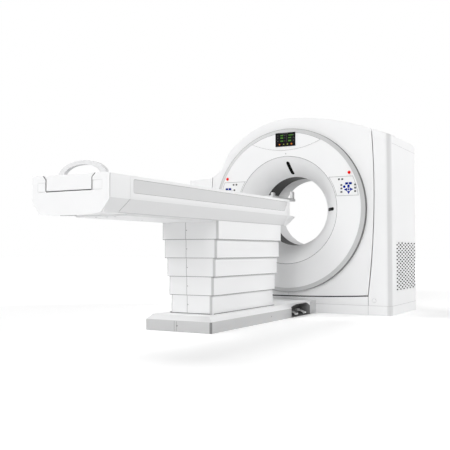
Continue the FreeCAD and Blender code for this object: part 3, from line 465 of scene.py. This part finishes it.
# Display: places are shares of the screen, across and down from its top left corner.
DISPLAY_ROWS = (
    # down, left value's height, right value's place across, width and height
    (0.20, 0.010, 0.78, 0.048, 0.009),
    (0.38, 0.014, 0.72, 0.032, 0.009),
    (0.60, 0.010, 0.72, 0.032, 0.014),
)
DOT_ACROSS = 0.125
DISPLAY_DOT = (0.010, 0.009)
DISPLAY_DOT_ROUND = 0.004
LEFT_ACROSS = 0.33
LEFT_WIDTH = 0.030
UNIT_ACROSS = (0.48, 0.91)
UNIT_SIZE = 0.008
ICONS_DOWN = 0.84
ICON_ROUND = 0.3                # corner radius as a share of an icon's size
DISPLAY_ICONS = (
    # across, size, material
    (0.21, 0.013, ICON_ORANGE), (0.42, 0.012, ICON_OLIVE),
    (0.61, 0.015, ICON_OLIVE), (0.81, 0.016, ICON_ORANGE),
)

# Keypads: places are x and z on the right one, which the left one mirrors.
GREY_KEY = (0.020, 0.018, 0.006)        # width, height, corner
GREY_KEYS = ((0.557, 1.287), (0.590, 1.287), (0.581, 1.231), (0.581, 1.198), (0.581, 1.165),
             (0.717, 1.230), (0.717, 1.200), (0.717, 1.168))
BLUE_KEYS = (
    # bent arrows that tilt the gantry: a bar and its tip, left and right
    (rectangle, (0.634, 1.245, 0.031, 0.020, 0.007)),
    (triangle, (0.634 + 0.010 * math.cos(math.radians(200.0)), 1.238, 0.020, 0.022, 200.0)),
    (rectangle, (0.670, 1.245, 0.031, 0.020, 0.007)),
    (triangle, (0.670 + 0.010 * math.cos(math.radians(-20.0)), 1.238, 0.020, 0.022, -20.0)),
    # the cross of arrows that moves the table
    (circle, (0.610, 1.214, 0.013)),
    (rectangle, (0.652, 1.217, 0.023, 0.032, 0.009)),
    (triangle, (0.622, 1.186, 0.034, 0.034, 180.0)),
    (circle, (0.652, 1.187, 0.009)),
    (triangle, (0.682, 1.187, 0.034, 0.034, 0.0)),
    (triangle, (0.652, 1.156, 0.034, 0.032, -90.0)),
)

SENSOR_DOT = (0.0, 1.571)
SENSOR_DOT_R = 0.007
ANCHOR_CAP_AT = (0.873, BODY_Y, 0.137)
PLINTH_JOINT_X = 0.8155
PLINTH_JOINT_Z = (0.004, 0.168)
BODY_FOOT_Z = 0.19              # the body's outline below this is its foot
PACKED_SLACK = 0.5 * MM         # how near a packed point counts as on an edge

# Table
SLEEVE_VISIBLE = 0.1425         # height of the lowest sleeve that shows
SLEEVE_SEAM_X = -0.026
SLEEVE_SCREW_OFF = 0.007
FOOT_CORNER = 0.02
BASE_SEAM_X = (-0.031, -0.012)
BASE_SIDE_TOP = 0.084
BASE_SCREW_Z = 0.045
BASE_SCREW_Y = -1.28
CORNER_STRIP = 0.014
COVER_HALF = 0.303
COVER_BOW = 0.017
TUB_HALF = 0.3
NOTCH_FLOOR_Z = 0.960
NOTCH_STEP_Z = 1.041
NOTCH_HALF_ABOVE = 0.2045       # half widths above the step and below it
NOTCH_HALF_BELOW = 0.1838
FOOT_BAND = 1.5 * MM            # points this near a cover's lowest one are on its foot edge
FLAP_LEAN = 0.07                # how far the faint covers turn outward with the bowed front
FLAP_OUTLINE = ((0.189, 0.966), (0.254, 0.966), (0.254, 1.022), (0.189, 1.022))
BLOCK_JOINT_BACK = 0.012        # how far the joint lies behind the bowed front's corner
BLOCK_JOINT_UPPER_Z = (1.060, 0.920)
BLOCK_JOINT_LOWER = ((0.300, -3.275, 0.918), (0.262, -3.337, 0.840))
BLOCK_SLANT = (0.899, 0.0, -0.439)
UNDERSIDE_SCREWS = ((-0.085, -3.13), (0.02, -3.15), (0.086, -3.15), (-0.095, -2.614))


# ---- Gantry -------------------------------------------------------------------------------------
def funnel():
    """Smoothly rounded front of the bore, with a fine groove where it meets the disc."""
    gap, sunk = FUNNEL_GROOVE
    front = arc((FUNNEL_R - gap, FACE_Y + sunk), FUNNEL_MID, (BORE_R, THROAT_Y), FUNNEL_STEPS)
    back = [(BORE_R + FUNNEL_WALL, THROAT_Y), (FUNNEL_R - gap, FACE_Y + FUNNEL_WALL)]
    obj = lathe("funnel_front", front + back, BORE_CENTRE, FINISHES["cover_white"],
                "tilting_gantry", RING_STEPS)
    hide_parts("front_funnel")


def funnel_point(y, lift):
    """Radius of the funnel's front at a depth, raised off its surface towards the axis."""
    points = arc((FUNNEL_R, FACE_Y), FUNNEL_MID, (BORE_R, THROAT_Y), LOOKUP_STEPS)
    for (r0, y0), (r1, y1) in zip(points, points[1:]):
        if y0 <= y <= y1:
            return r0 + (r1 - r0) * (y - y0) / (y1 - y0) - lift
    return points[-1][0] - lift


def laser_window(name, degrees, y0, y1, width):
    """Curved black window on the funnel's surface, its ends rounded."""
    turn = math.radians(degrees)
    verts = []
    for lift in (WINDOW_PROUD, WINDOW_SUNK):
        for k in range(WINDOW_ROWS + 1):
            y = y0 + (y1 - y0) * k / WINDOW_ROWS
            r = funnel_point(y, lift)
            inset = min(1.0, min(y - y0, y1 - y) / (width * WINDOW_ROUND))
            half = width / 2 * math.sqrt(max(WINDOW_BLUNT, 1.0 - (1.0 - inset) ** 2))
            for side in (-half, half):
                verts.append((r * math.cos(turn) - side * math.sin(turn), y,
                              ISO_Z + r * math.sin(turn) + side * math.cos(turn)))
    top = 2 * (WINDOW_ROWS + 1)
    faces = []
    for k in range(WINDOW_ROWS):
        a = 2 * k
        faces.append([a, a + 1, a + 3, a + 2])
        faces.append([a + top, a + top + 2, a + top + 3, a + top + 1])
        faces.append([a, a + 2, a + 2 + top, a + top])
        faces.append([a + 1, a + 1 + top, a + 3 + top, a + 3])
    end = 2 * WINDOW_ROWS
    faces.append([0, top, top + 1, 1])
    faces.append([end, end + 1, end + 1 + top, end + top])
    return turn_outward(piece(name, verts, faces, FINISHES["laser_black"], "tilting_gantry"))


def laser_windows():
    low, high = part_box("laser_windows")
    first = laser_window("laser_window_top", 90.0, low.y, high.y, TOP_WINDOW_WIDTH)
    side_end = high.y - SIDE_WINDOW_SHORTER
    laser_window("laser_window_right", 0.0, low.y, side_end, SIDE_WINDOW_WIDTH)
    laser_window("laser_window_left", 180.0, low.y, side_end, SIDE_WINDOW_WIDTH)
    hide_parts("laser_windows")


def paint_rim():
    """The rim's outer wall gets painted shade: dark grey, darker than its bevelled front."""
    paint("disc_rim", EDGE_DARK, lambda face: abs(face.normal.y) < 0.2 and math.hypot(
        face.center.x, face.center.z - ISO_Z) > RIM_R - RIM_WALL_BAND)


def stop_button(side):
    """Domed red head on a thinner stem."""
    node = "stop_button_" + side
    low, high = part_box(node)
    r = (high.x - low.x) / 2
    length = high.y - low.y
    dome = arc((0.0005, 0.0), (r * 0.62, 0.0022), (r - 0.001, 0.006), 8)
    profile = dome + [(r, 0.0085), (r - 0.002, STOP_HEAD), (r * 0.55, STOP_HEAD),
                      (r * 0.5, length), (0.0005, length)]
    obj = lathe("stop_head_" + side, profile, ((low.x + high.x) / 2, low.y, (low.z + high.z) / 2),
                FINISHES["stop_red"], "stop_" + side, KNOB_STEPS)
    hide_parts(node)


def display():
    """Graphics of the gantry display, laid just over the black screen."""
    low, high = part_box("display_screen")
    place = facing_front(low.y)

    def mark(name, across, down, width, height, material, radius=0.0):
        outline = rectangle(low.x + across * (high.x - low.x), high.z - down * (high.z - low.z),
                            width, height, radius)
        slab("display_" + name, outline, place, 0.0, LINE_LIFT, material, "tilting_gantry")

    for k, (down, left_height, right_at, right_width, right_height) in enumerate(DISPLAY_ROWS):
        mark("dot_%d" % k, DOT_ACROSS, down, *DISPLAY_DOT, LINE_GREY, DISPLAY_DOT_ROUND)
        mark("value_left_%d" % k, LEFT_ACROSS, down, LEFT_WIDTH, left_height, LINE_GREEN)
        mark("value_right_%d" % k, right_at, down, right_width, right_height, LINE_GREEN)
        mark("unit_left_%d" % k, UNIT_ACROSS[0], down, UNIT_SIZE, UNIT_SIZE, LINE_GREY)
        mark("unit_right_%d" % k, UNIT_ACROSS[1], down, UNIT_SIZE, UNIT_SIZE, LINE_GREY)
    mark("title", 0.5, 0.08, 0.060, 0.005, LINE_GREY)
    mark("divider", 0.57, 0.42, 0.0025, 0.075, LINE_GREY)
    for k, (across, size, material) in enumerate(DISPLAY_ICONS):
        mark("icon_%d" % k, across, ICONS_DOWN, size, size, material, size * ICON_ROUND)


def control_keys(side):
    """Printed keys of one sealed keypad: grey ones round a blue group."""
    word = "right" if side > 0 else "left"
    place = facing_front(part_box("control_panel_" + word)[0].y)
    outlines = [(rectangle(x, z, *GREY_KEY), KEY_GREY) for x, z in GREY_KEYS]
    outlines += [(make(*sizes), KEY_BLUE) for make, sizes in BLUE_KEYS]
    for k, (outline, material) in enumerate(outlines):
        points = [(side * u, v) for u, v in outline]
        if side < 0:
            points.reverse()
        slab("key_%s_%d" % (word, k), points, place, 0.0, KEY_LIFT, material, "tilting_gantry")


def at_rim(point):
    return math.hypot(point.x, point.z - ISO_Z) > RIM_R - RIM_EDGE_BAND


def body_trim():
    """Fine joints of the covers that tilt, the sensor dot over the bore, and painted shade along
    the body's foot and the rim's outer edge.
    """
    slab("sensor_dot", circle(*SENSOR_DOT, SENSOR_DOT_R, 24), facing_front(FACE_Y), 0.0, KEY_LIFT,
         SEAM_LIGHT, "tilting_gantry")
    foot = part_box("body_shell")[0].z
    rim_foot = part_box("disc_rim")[0].z
    seam = rectangle(0.0, (foot + rim_foot) / 2, SEAM_LINE, rim_foot - foot - 0.012)
    slab("body_foot_seam", seam, facing_front(BODY_Y), 0.0, LINE_LIFT, SEAM_LIGHT,
         "tilting_gantry")
    joint = [(FUNNEL_R, -LINE_LIFT), (FUNNEL_R + JOINT_LINE, -LINE_LIFT),
             (FUNNEL_R + JOINT_LINE, JOINT_SUNK), (FUNNEL_R, JOINT_SUNK)]
    lathe("funnel_joint", joint, (0.0, FACE_Y, ISO_Z), JOINT_GREY, "tilting_gantry",
          RING_STEPS)
    front = looks(0.0, -1.0, 0.0)
    for word in ("left", "right"):
        edge_line("panel_joint_" + word, "control_panel_" + word, front, anywhere, PANEL_LINE,
                  PANEL_JOINT, "tilting_gantry")
    edge_line("crest_joint", "disc_crest", front, anywhere, CREST_LINE, JOINT_GREY,
              "tilting_gantry")
    # The dark line along the body's foot is partly its joint, partly painted shade that widens the
    # gap below.
    edge_line("body_foot_joint", "body_shell", front, below(BODY_FOOT_Z), JOINT_LINE,
              JOINT_DARK, "tilting_gantry")
    # The grey line along the rim's outer edge is partly its joint to the body, partly painted
    # shade.
    edge_line("rim_edge", "disc_rim", lambda face: -0.95 < face.normal.y < -0.2, at_rim,
              RIM_LINE, JOINT_GREY, "tilting_gantry")


def tower_trim():
    """Joints of the towers, painted shade on their corners, and painted shade in the gap under the
    tilting body.
    """
    cap_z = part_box("tower_cap_right")[0].z
    edge_line("cap_joint", "tower_cap_right", lambda face: abs(face.normal.z) < 0.5,
              below(cap_z + PACKED_SLACK), SEAM_LINE, SEAM_LIGHT, "base")
    # Painted shade: the corner faces between the front and the side are darker.
    for node in ("tower_cover_right", "tower_cap_right", "skirt_right", "tower_cover_left",
                 "skirt_left"):
        paint(node, TOWER_CORNER_SHADE,
              lambda face: abs(face.normal.x) > 0.35 and face.normal.y < -0.35)
    # Painted shade: the faces seen through the gap under the body are painted black.
    paint("front_plinth", GAP_SHADE, lambda face: face.normal.z > 0.7)
    paint("rear_plinth", GAP_SHADE, lambda face: face.normal.y < -0.7)
    foot_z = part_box("lower_plinth")[1].z
    for node in ("skirt_right", "skirt_left", "lower_plinth"):
        edge_line(node + "_joint", node, upright, above(foot_z - PACKED_SLACK), JOINT_LINE,
                  SEAM_LIGHT, "base")
    plinth_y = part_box("front_plinth")[0].y
    for word, x in (("left", -PLINTH_JOINT_X), ("right", PLINTH_JOINT_X)):
        ribbon("plinth_joint_" + word, [(x, plinth_y, z) for z in PLINTH_JOINT_Z],
               (0.0, -1.0, 0.0), RIM_LINE, SEAM_LIGHT, "base")


def vent_shade_backing():
    """Dark sheet behind the grille's slots: painted shade for the hollow behind them."""
    low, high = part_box("side_vent_grille")
    outline = rectangle((low.y + high.y) / 2, (low.z + high.z) / 2, high.y - low.y,
                        high.z - low.z)
    slab("vent_shade_sheet", outline, facing_right(low.x), -0.004, -0.002, GAP_SHADE, "base")


def anchor_cap():
    """Round cap over the anchor bolt beside the plinth."""
    cap = [(0.0005, -0.0025), (0.016, -0.0025), (0.018, -0.0012), (0.018, 0.002), (0.0005, 0.002)]
    lathe("anchor_cap", cap, ANCHOR_CAP_AT, FINISHES["cover_white"], "base",
          KNOB_STEPS)
    edge = [(0.0175, -0.0014), (0.0205, -0.0006), (0.0205, 0.002), (0.0175, 0.002)]
    lathe("anchor_cap_edge", edge, ANCHOR_CAP_AT, SEAM_LIGHT, "base", KNOB_STEPS)


# ---- Table --------------------------------------------------------------------------------------
def screw(name, u, v, place, body, radius=0.006):
    slab(name, circle(u, v, radius, 24), place, 0.0, SCREW_LIFT, SCREW, body)


def sleeve_trim():
    """End seam, screw and painted shade on the corners of each sleeve, and the dark joints between
    sleeves.
    """
    bodies = ("table_top", "shell_two", "shell_three", "shell_four", "base")
    for k, body in enumerate(bodies):
        number = k + 1
        node = "pedestal_shell_%d" % number
        low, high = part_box(node)
        lowest = number == len(bodies)
        top = high.z if k == 0 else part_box("pedestal_shell_%d" % k)[0].z
        bottom = top - SLEEVE_VISIBLE if lowest else low.z
        ribbon("sleeve_seam_%d" % number,
               [(SLEEVE_SEAM_X, low.y, bottom + 0.003), (SLEEVE_SEAM_X, low.y, top - 0.003)],
               (0.0, -1.0, 0.0), SEAM_LINE, JOINT_GREY, body)
        screw("sleeve_screw_%d" % number, SLEEVE_SEAM_X + SLEEVE_SCREW_OFF, (top + bottom) / 2,
              facing_front(low.y), body, 0.0035)
        # Painted shade: the corner faces between the end and the side are darker.
        paint(node, SLEEVE_CORNER_SHADE,
              lambda face: abs(face.normal.x) > 0.25 and abs(face.normal.y) > 0.25)
        if not lowest:
            edge_line("sleeve_joint_%d" % number, node, upright, below(low.z + PACKED_SLACK),
                      JOINT_LINE, JOINT_GREY, body)


def foot_joint():
    """Dark line where the lowest sleeve stands in the base: its joint, widened with painted contact
    shade.
    """
    low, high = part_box("pedestal_shell_5")
    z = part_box("base_cover_right")[1].z + 0.003
    near = FOOT_CORNER
    for word, points, normal in (
            ("end", [(low.x + near, low.y, z), (high.x - near, low.y, z)], (0.0, -1.0, 0.0)),
            ("right", [(high.x, low.y + near, z), (high.x, high.y - near, z)], (1.0, 0.0, 0.0)),
            ("left", [(low.x, high.y - near, z), (low.x, low.y + near, z)], (-1.0, 0.0, 0.0))):
        ribbon("foot_joint_" + word, points, normal, FOOT_LINE, JOINT_GREY, "base")


def paint_base():
    """The base's upright sides are grey and its chamfers and top are white; the chamfers that face
    the end carry painted shade.
    """
    for name in ("base_cover_left", "base_cover_right", "bridge_cover"):
        paint(name, BASE_TOP, lambda face: face.normal.z > 0.3)
        # Painted shade: the chamfers that face the end are a darker white.
        paint(name, BASE_END_TOP_SHADED, lambda face: face.normal.z > 0.3 and face.normal.y < -0.2)


def base_trim():
    """Dark corner, end seams and screws of the base's grey sides."""
    low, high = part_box("base_cover_right")
    front = facing_front(low.y)
    right = facing_right(high.x)
    middle = BASE_SIDE_TOP / 2
    for name, u, place in (("base_corner_strip", high.x - CORNER_STRIP / 2, front),
                           ("base_corner_strip_side", low.y + CORNER_STRIP / 2, right)):
        slab(name, rectangle(u, middle, CORNER_STRIP, BASE_SIDE_TOP - 0.004), place, 0.0,
             STRIP_LIFT, EDGE_DARK, "base")
    for k, x in enumerate(BASE_SEAM_X):
        slab("base_end_seam_%d" % k, rectangle(x, middle, SEAM_LINE, BASE_SIDE_TOP - 0.006),
             front, 0.0, LINE_LIFT, JOINT_GREY, "base")
    screw("base_screw_end", BASE_SEAM_X[1] + 0.006, BASE_SCREW_Z, front, "base")
    screw("base_screw_side", BASE_SCREW_Y, BASE_SCREW_Z, right, "base")


def cover_front(x):
    """Depth of the end cover's bowed front at a distance from its middle."""
    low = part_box("end_cover")[0].y
    reach = (COVER_HALF ** 2 + COVER_BOW ** 2) / (2 * COVER_BOW)
    return low + reach - math.sqrt(reach ** 2 - x ** 2)


def notch_edge(point):
    """The end cover's edge along its notch, and not along the faint covers beside it."""
    half = NOTCH_HALF_ABOVE if point.z > NOTCH_STEP_Z else NOTCH_HALF_BELOW
    return point.z > NOTCH_FLOOR_Z and abs(point.x) < half


def end_cover_trim():
    """Dark joint round the end block, the line at the cover's foot and the faint covers."""
    edge_line("notch_joint", "end_cover", lambda face: face.normal.y < -0.9, notch_edge, PANEL_LINE,
              JOINT_DARK, "table_top")
    foot_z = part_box("end_cover")[0].z
    edge_line("end_foot_joint", "end_cover", lambda face: face.normal.y < -0.5,
              below(foot_z + FOOT_BAND), SEAM_LINE, JOINT_GREY, "table_top")
    pan_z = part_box("tub_pan")[0].z
    edge_line("tub_foot_joint", "tub_pan", slants_under, below(pan_z + FOOT_BAND), TUB_LINE,
              SEAM_LIGHT, "table_top")
    for side in (-1, 1):
        points = [(side * x, cover_front(x), z) for x, z in FLAP_OUTLINE]
        ribbon("flap_joint_%d" % (side + 1), points, (side * FLAP_LEAN, -1.0, 0.0), FINE_LINE,
               SEAM_LIGHT, "table_top")


def tub_trim():
    """Joints of the side strips and blocks, the tub's shaded slants and the screws below."""
    edge_line("strip_joint", "side_strip_right", looks(1.0, 0.0, 0.0), anywhere, FINE_LINE,
              JOINT_GREY, "table_top")
    edge_line("strip_joint_left", "side_strip_left", looks(-1.0, 0.0, 0.0), anywhere, FINE_LINE,
              JOINT_GREY, "table_top")
    for node in ("tub_pan", "side_block_left", "side_block_right"):
        paint(node, TUB_SHADE, slants_under)
    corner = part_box("end_cover")[0].y + COVER_BOW + BLOCK_JOINT_BACK
    ribbon("block_joint_upper", [(TUB_HALF, corner, z) for z in BLOCK_JOINT_UPPER_Z],
           (1.0, 0.0, 0.0), SEAM_LINE, SEAM_LIGHT, "table_top")
    ribbon("block_joint_lower", BLOCK_JOINT_LOWER, BLOCK_SLANT, SEAM_LINE, JOINT_GREY, "table_top")
    place = facing_down(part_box("tub_underside")[0].z)
    for k, (x, y) in enumerate(UNDERSIDE_SCREWS):
        screw("underside_screw_%d" % k, x, y, place, "table_top", 0.007)


# ---- Dressing of the CAD nodes ------------------------------------------------------------------
# Painted shade: the end cover, end block and handle take darker copies of the table's white,
# against the front light.
OWN_FINISHES = {"end_cover": END_WHITE_SHADED, "cradle_end_block": END_WHITE_SHADED,
                "cradle_handle": HANDLE_WHITE_SHADED}
# Width in millimetres of the round that each node's sharp edges get. Other nodes get none.
EDGE_WIDTHS = {
    0.8: ("control_panel_left", "control_panel_right", "side_strip_left", "side_strip_right"),
    1.0: ("disc_face", "pedal_bay", "table_base_plate"),
    1.5: ("skirt_right", "skirt_left", "front_plinth", "lower_plinth", "rear_plinth",
          "disc_crest", "display_screen"),
    2.0: ("tower_cover_right", "tower_cap_right", "tower_cover_left", "disc_rim", "tub_pan",
          "pedal_foot", "pedal_head", "pedestal_shell_1", "pedestal_shell_2",
          "pedestal_shell_3", "pedestal_shell_4", "pedestal_shell_5"),
    3.0: ("side_block_left", "side_block_right", "end_cover", "tub_underside", "cradle",
          "cradle_end_block", "base_cover_left", "base_cover_right", "bridge_cover"),
    4.0: ("tub_nose",),
    5.0: ("cradle_handle", "head_plate", "head_cheeks"),
    6.0: ("body_shell", "rear_cover"),
}
EDGE_WIDTH_OF = {node: width for width, group in EDGE_WIDTHS.items() for node in group}
WELD_WITHIN = 0.02 * MM
FLAT_BELOW = 0.6                # degrees
SHARP_ABOVE = 32.0              # degrees


def round_edges(obj, width):
    """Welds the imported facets, merges flat ones and rounds every sharp edge."""
    join = obj.modifiers.new("weld", "WELD")
    join.merge_threshold = WELD_WITHIN
    flat = obj.modifiers.new("flat", "DECIMATE")
    flat.decimate_type = "DISSOLVE"
    flat.angle_limit = math.radians(FLAT_BELOW)
    if width > 0.0:
        edge = obj.modifiers.new("edge", "BEVEL")
        edge.width = width
        edge.segments = 2
        edge.limit_method = "ANGLE"
        edge.angle_limit = math.radians(SHARP_ABOVE)
        edge.harden_normals = False
    smooth(obj, SMOOTH_PACKED)
    if width > 0.0:
        normals = obj.modifiers.new("normals", "WEIGHTED_NORMAL")
        normals.keep_sharp = True


def dress_nodes():
    for name, obj in nodes.items():
        obj.data.materials.clear()
        obj.data.materials.append(OWN_FINISHES.get(name, FINISHES[slot_of[name]]))
        round_edges(obj, EDGE_WIDTH_OF.get(name, 0.0) * MM)


# ---- Stage --------------------------------------------------------------------------------------
def seen_directly(tree):
    """1 for rays that look straight at, by reflection or through glass; 0 for light."""
    path = tree.nodes.new("ShaderNodeLightPath")
    either = tree.nodes.new("ShaderNodeMath")
    either.operation = "MAXIMUM"
    any_of = tree.nodes.new("ShaderNodeMath")
    any_of.operation = "MAXIMUM"
    tree.links.new(path.outputs["Is Camera Ray"], either.inputs[0])
    tree.links.new(path.outputs["Is Glossy Ray"], either.inputs[1])
    tree.links.new(either.outputs[0], any_of.inputs[0])
    tree.links.new(path.outputs["Is Transmission Ray"], any_of.inputs[1])
    return any_of.outputs[0]


def floor():
    """A pale floor that whitens with the distance, as a studio floor under a lit backdrop."""
    bpy.ops.mesh.primitive_plane_add(size=FLOOR_SIZE, location=(0.0, 0.0, 0.0))
    plane = bpy.context.object
    plane.name = "floor"
    mat = bpy.data.materials.new("floor_white")
    mat.use_nodes = True
    tree = mat.node_tree
    tree.nodes.clear()
    out = tree.nodes.new("ShaderNodeOutputMaterial")
    add = tree.nodes.new("ShaderNodeAddShader")
    diffuse = tree.nodes.new("ShaderNodeBsdfDiffuse")
    diffuse.inputs["Color"].default_value = (FLOOR_COLOUR, FLOOR_COLOUR, FLOOR_COLOUR, 1.0)
    glow = tree.nodes.new("ShaderNodeEmission")
    coords = tree.nodes.new("ShaderNodeTexCoord")
    away = tree.nodes.new("ShaderNodeVectorMath")
    away.operation = "LENGTH"
    rise = tree.nodes.new("ShaderNodeMapRange")
    near, far = FLOOR_GLOW_AT
    rise.inputs["From Min"].default_value = near
    rise.inputs["From Max"].default_value = far
    weak, full = FLOOR_GLOW
    rise.inputs["To Min"].default_value = weak
    rise.inputs["To Max"].default_value = full
    level = tree.nodes.new("ShaderNodeMath")
    level.operation = "MULTIPLY"
    tree.links.new(coords.outputs["Object"], away.inputs[0])
    tree.links.new(away.outputs["Value"], rise.inputs["Value"])
    tree.links.new(seen_directly(tree), level.inputs[0])
    tree.links.new(rise.outputs["Result"], level.inputs[1])
    tree.links.new(level.outputs[0], glow.inputs["Strength"])
    tree.links.new(diffuse.outputs[0], add.inputs[0])
    tree.links.new(glow.outputs[0], add.inputs[1])
    tree.links.new(add.outputs[0], out.inputs["Surface"])
    plane.data.materials.append(mat)


def sky():
    """A dim even light from all round, which shows as white."""
    world = bpy.data.worlds.new("studio")
    bpy.context.scene.world = world
    world.use_nodes = True
    tree = world.node_tree
    background = tree.nodes["Background"]
    background.inputs["Color"].default_value = (1.0, 1.0, 1.0, 1.0)
    level = tree.nodes.new("ShaderNodeMapRange")
    level.inputs["To Min"].default_value = SKY_LEVEL
    level.inputs["To Max"].default_value = 1.0
    tree.links.new(seen_directly(tree), level.inputs["Value"])
    tree.links.new(level.outputs["Result"], background.inputs["Strength"])


def lamp(name, at, diameter, watts):
    light = bpy.data.lights.new(name, "AREA")
    light.shape = "DISK"
    light.size = diameter
    light.energy = watts
    obj = bpy.data.objects.new(name, light)
    bpy.context.collection.objects.link(obj)
    obj.location = at
    way = Vector(LAMPS_TOWARDS) - Vector(at)
    obj.rotation_euler = way.to_track_quat("-Z", "Y").to_euler()


def camera():
    """The photograph's camera."""
    data = bpy.data.cameras.new("camera")
    data.sensor_width = SENSOR_MM
    data.lens = FOCAL_PX / IMAGE_PX * SENSOR_MM
    data.clip_end = CAMERA_REACH
    obj = bpy.data.objects.new("camera", data)
    bpy.context.collection.objects.link(obj)
    obj.location = CAMERA_AT
    obj.rotation_euler = (math.pi / 2 + CAMERA_PITCH, 0.0, CAMERA_YAW)
    bpy.context.scene.camera = obj


dress_nodes()
paint_rim()
paint_base()
funnel()
laser_windows()
stop_button("left")
stop_button("right")
display()
control_keys(1)
control_keys(-1)
body_trim()
tower_trim()
vent_shade_backing()
anchor_cap()
sleeve_trim()
foot_joint()
base_trim()
end_cover_trim()
tub_trim()
floor()
sky()
for name, at, diameter, watts in LAMPS:
    lamp(name, at, diameter, watts)
camera()
bpy.context.scene.view_settings.view_transform = "Standard"
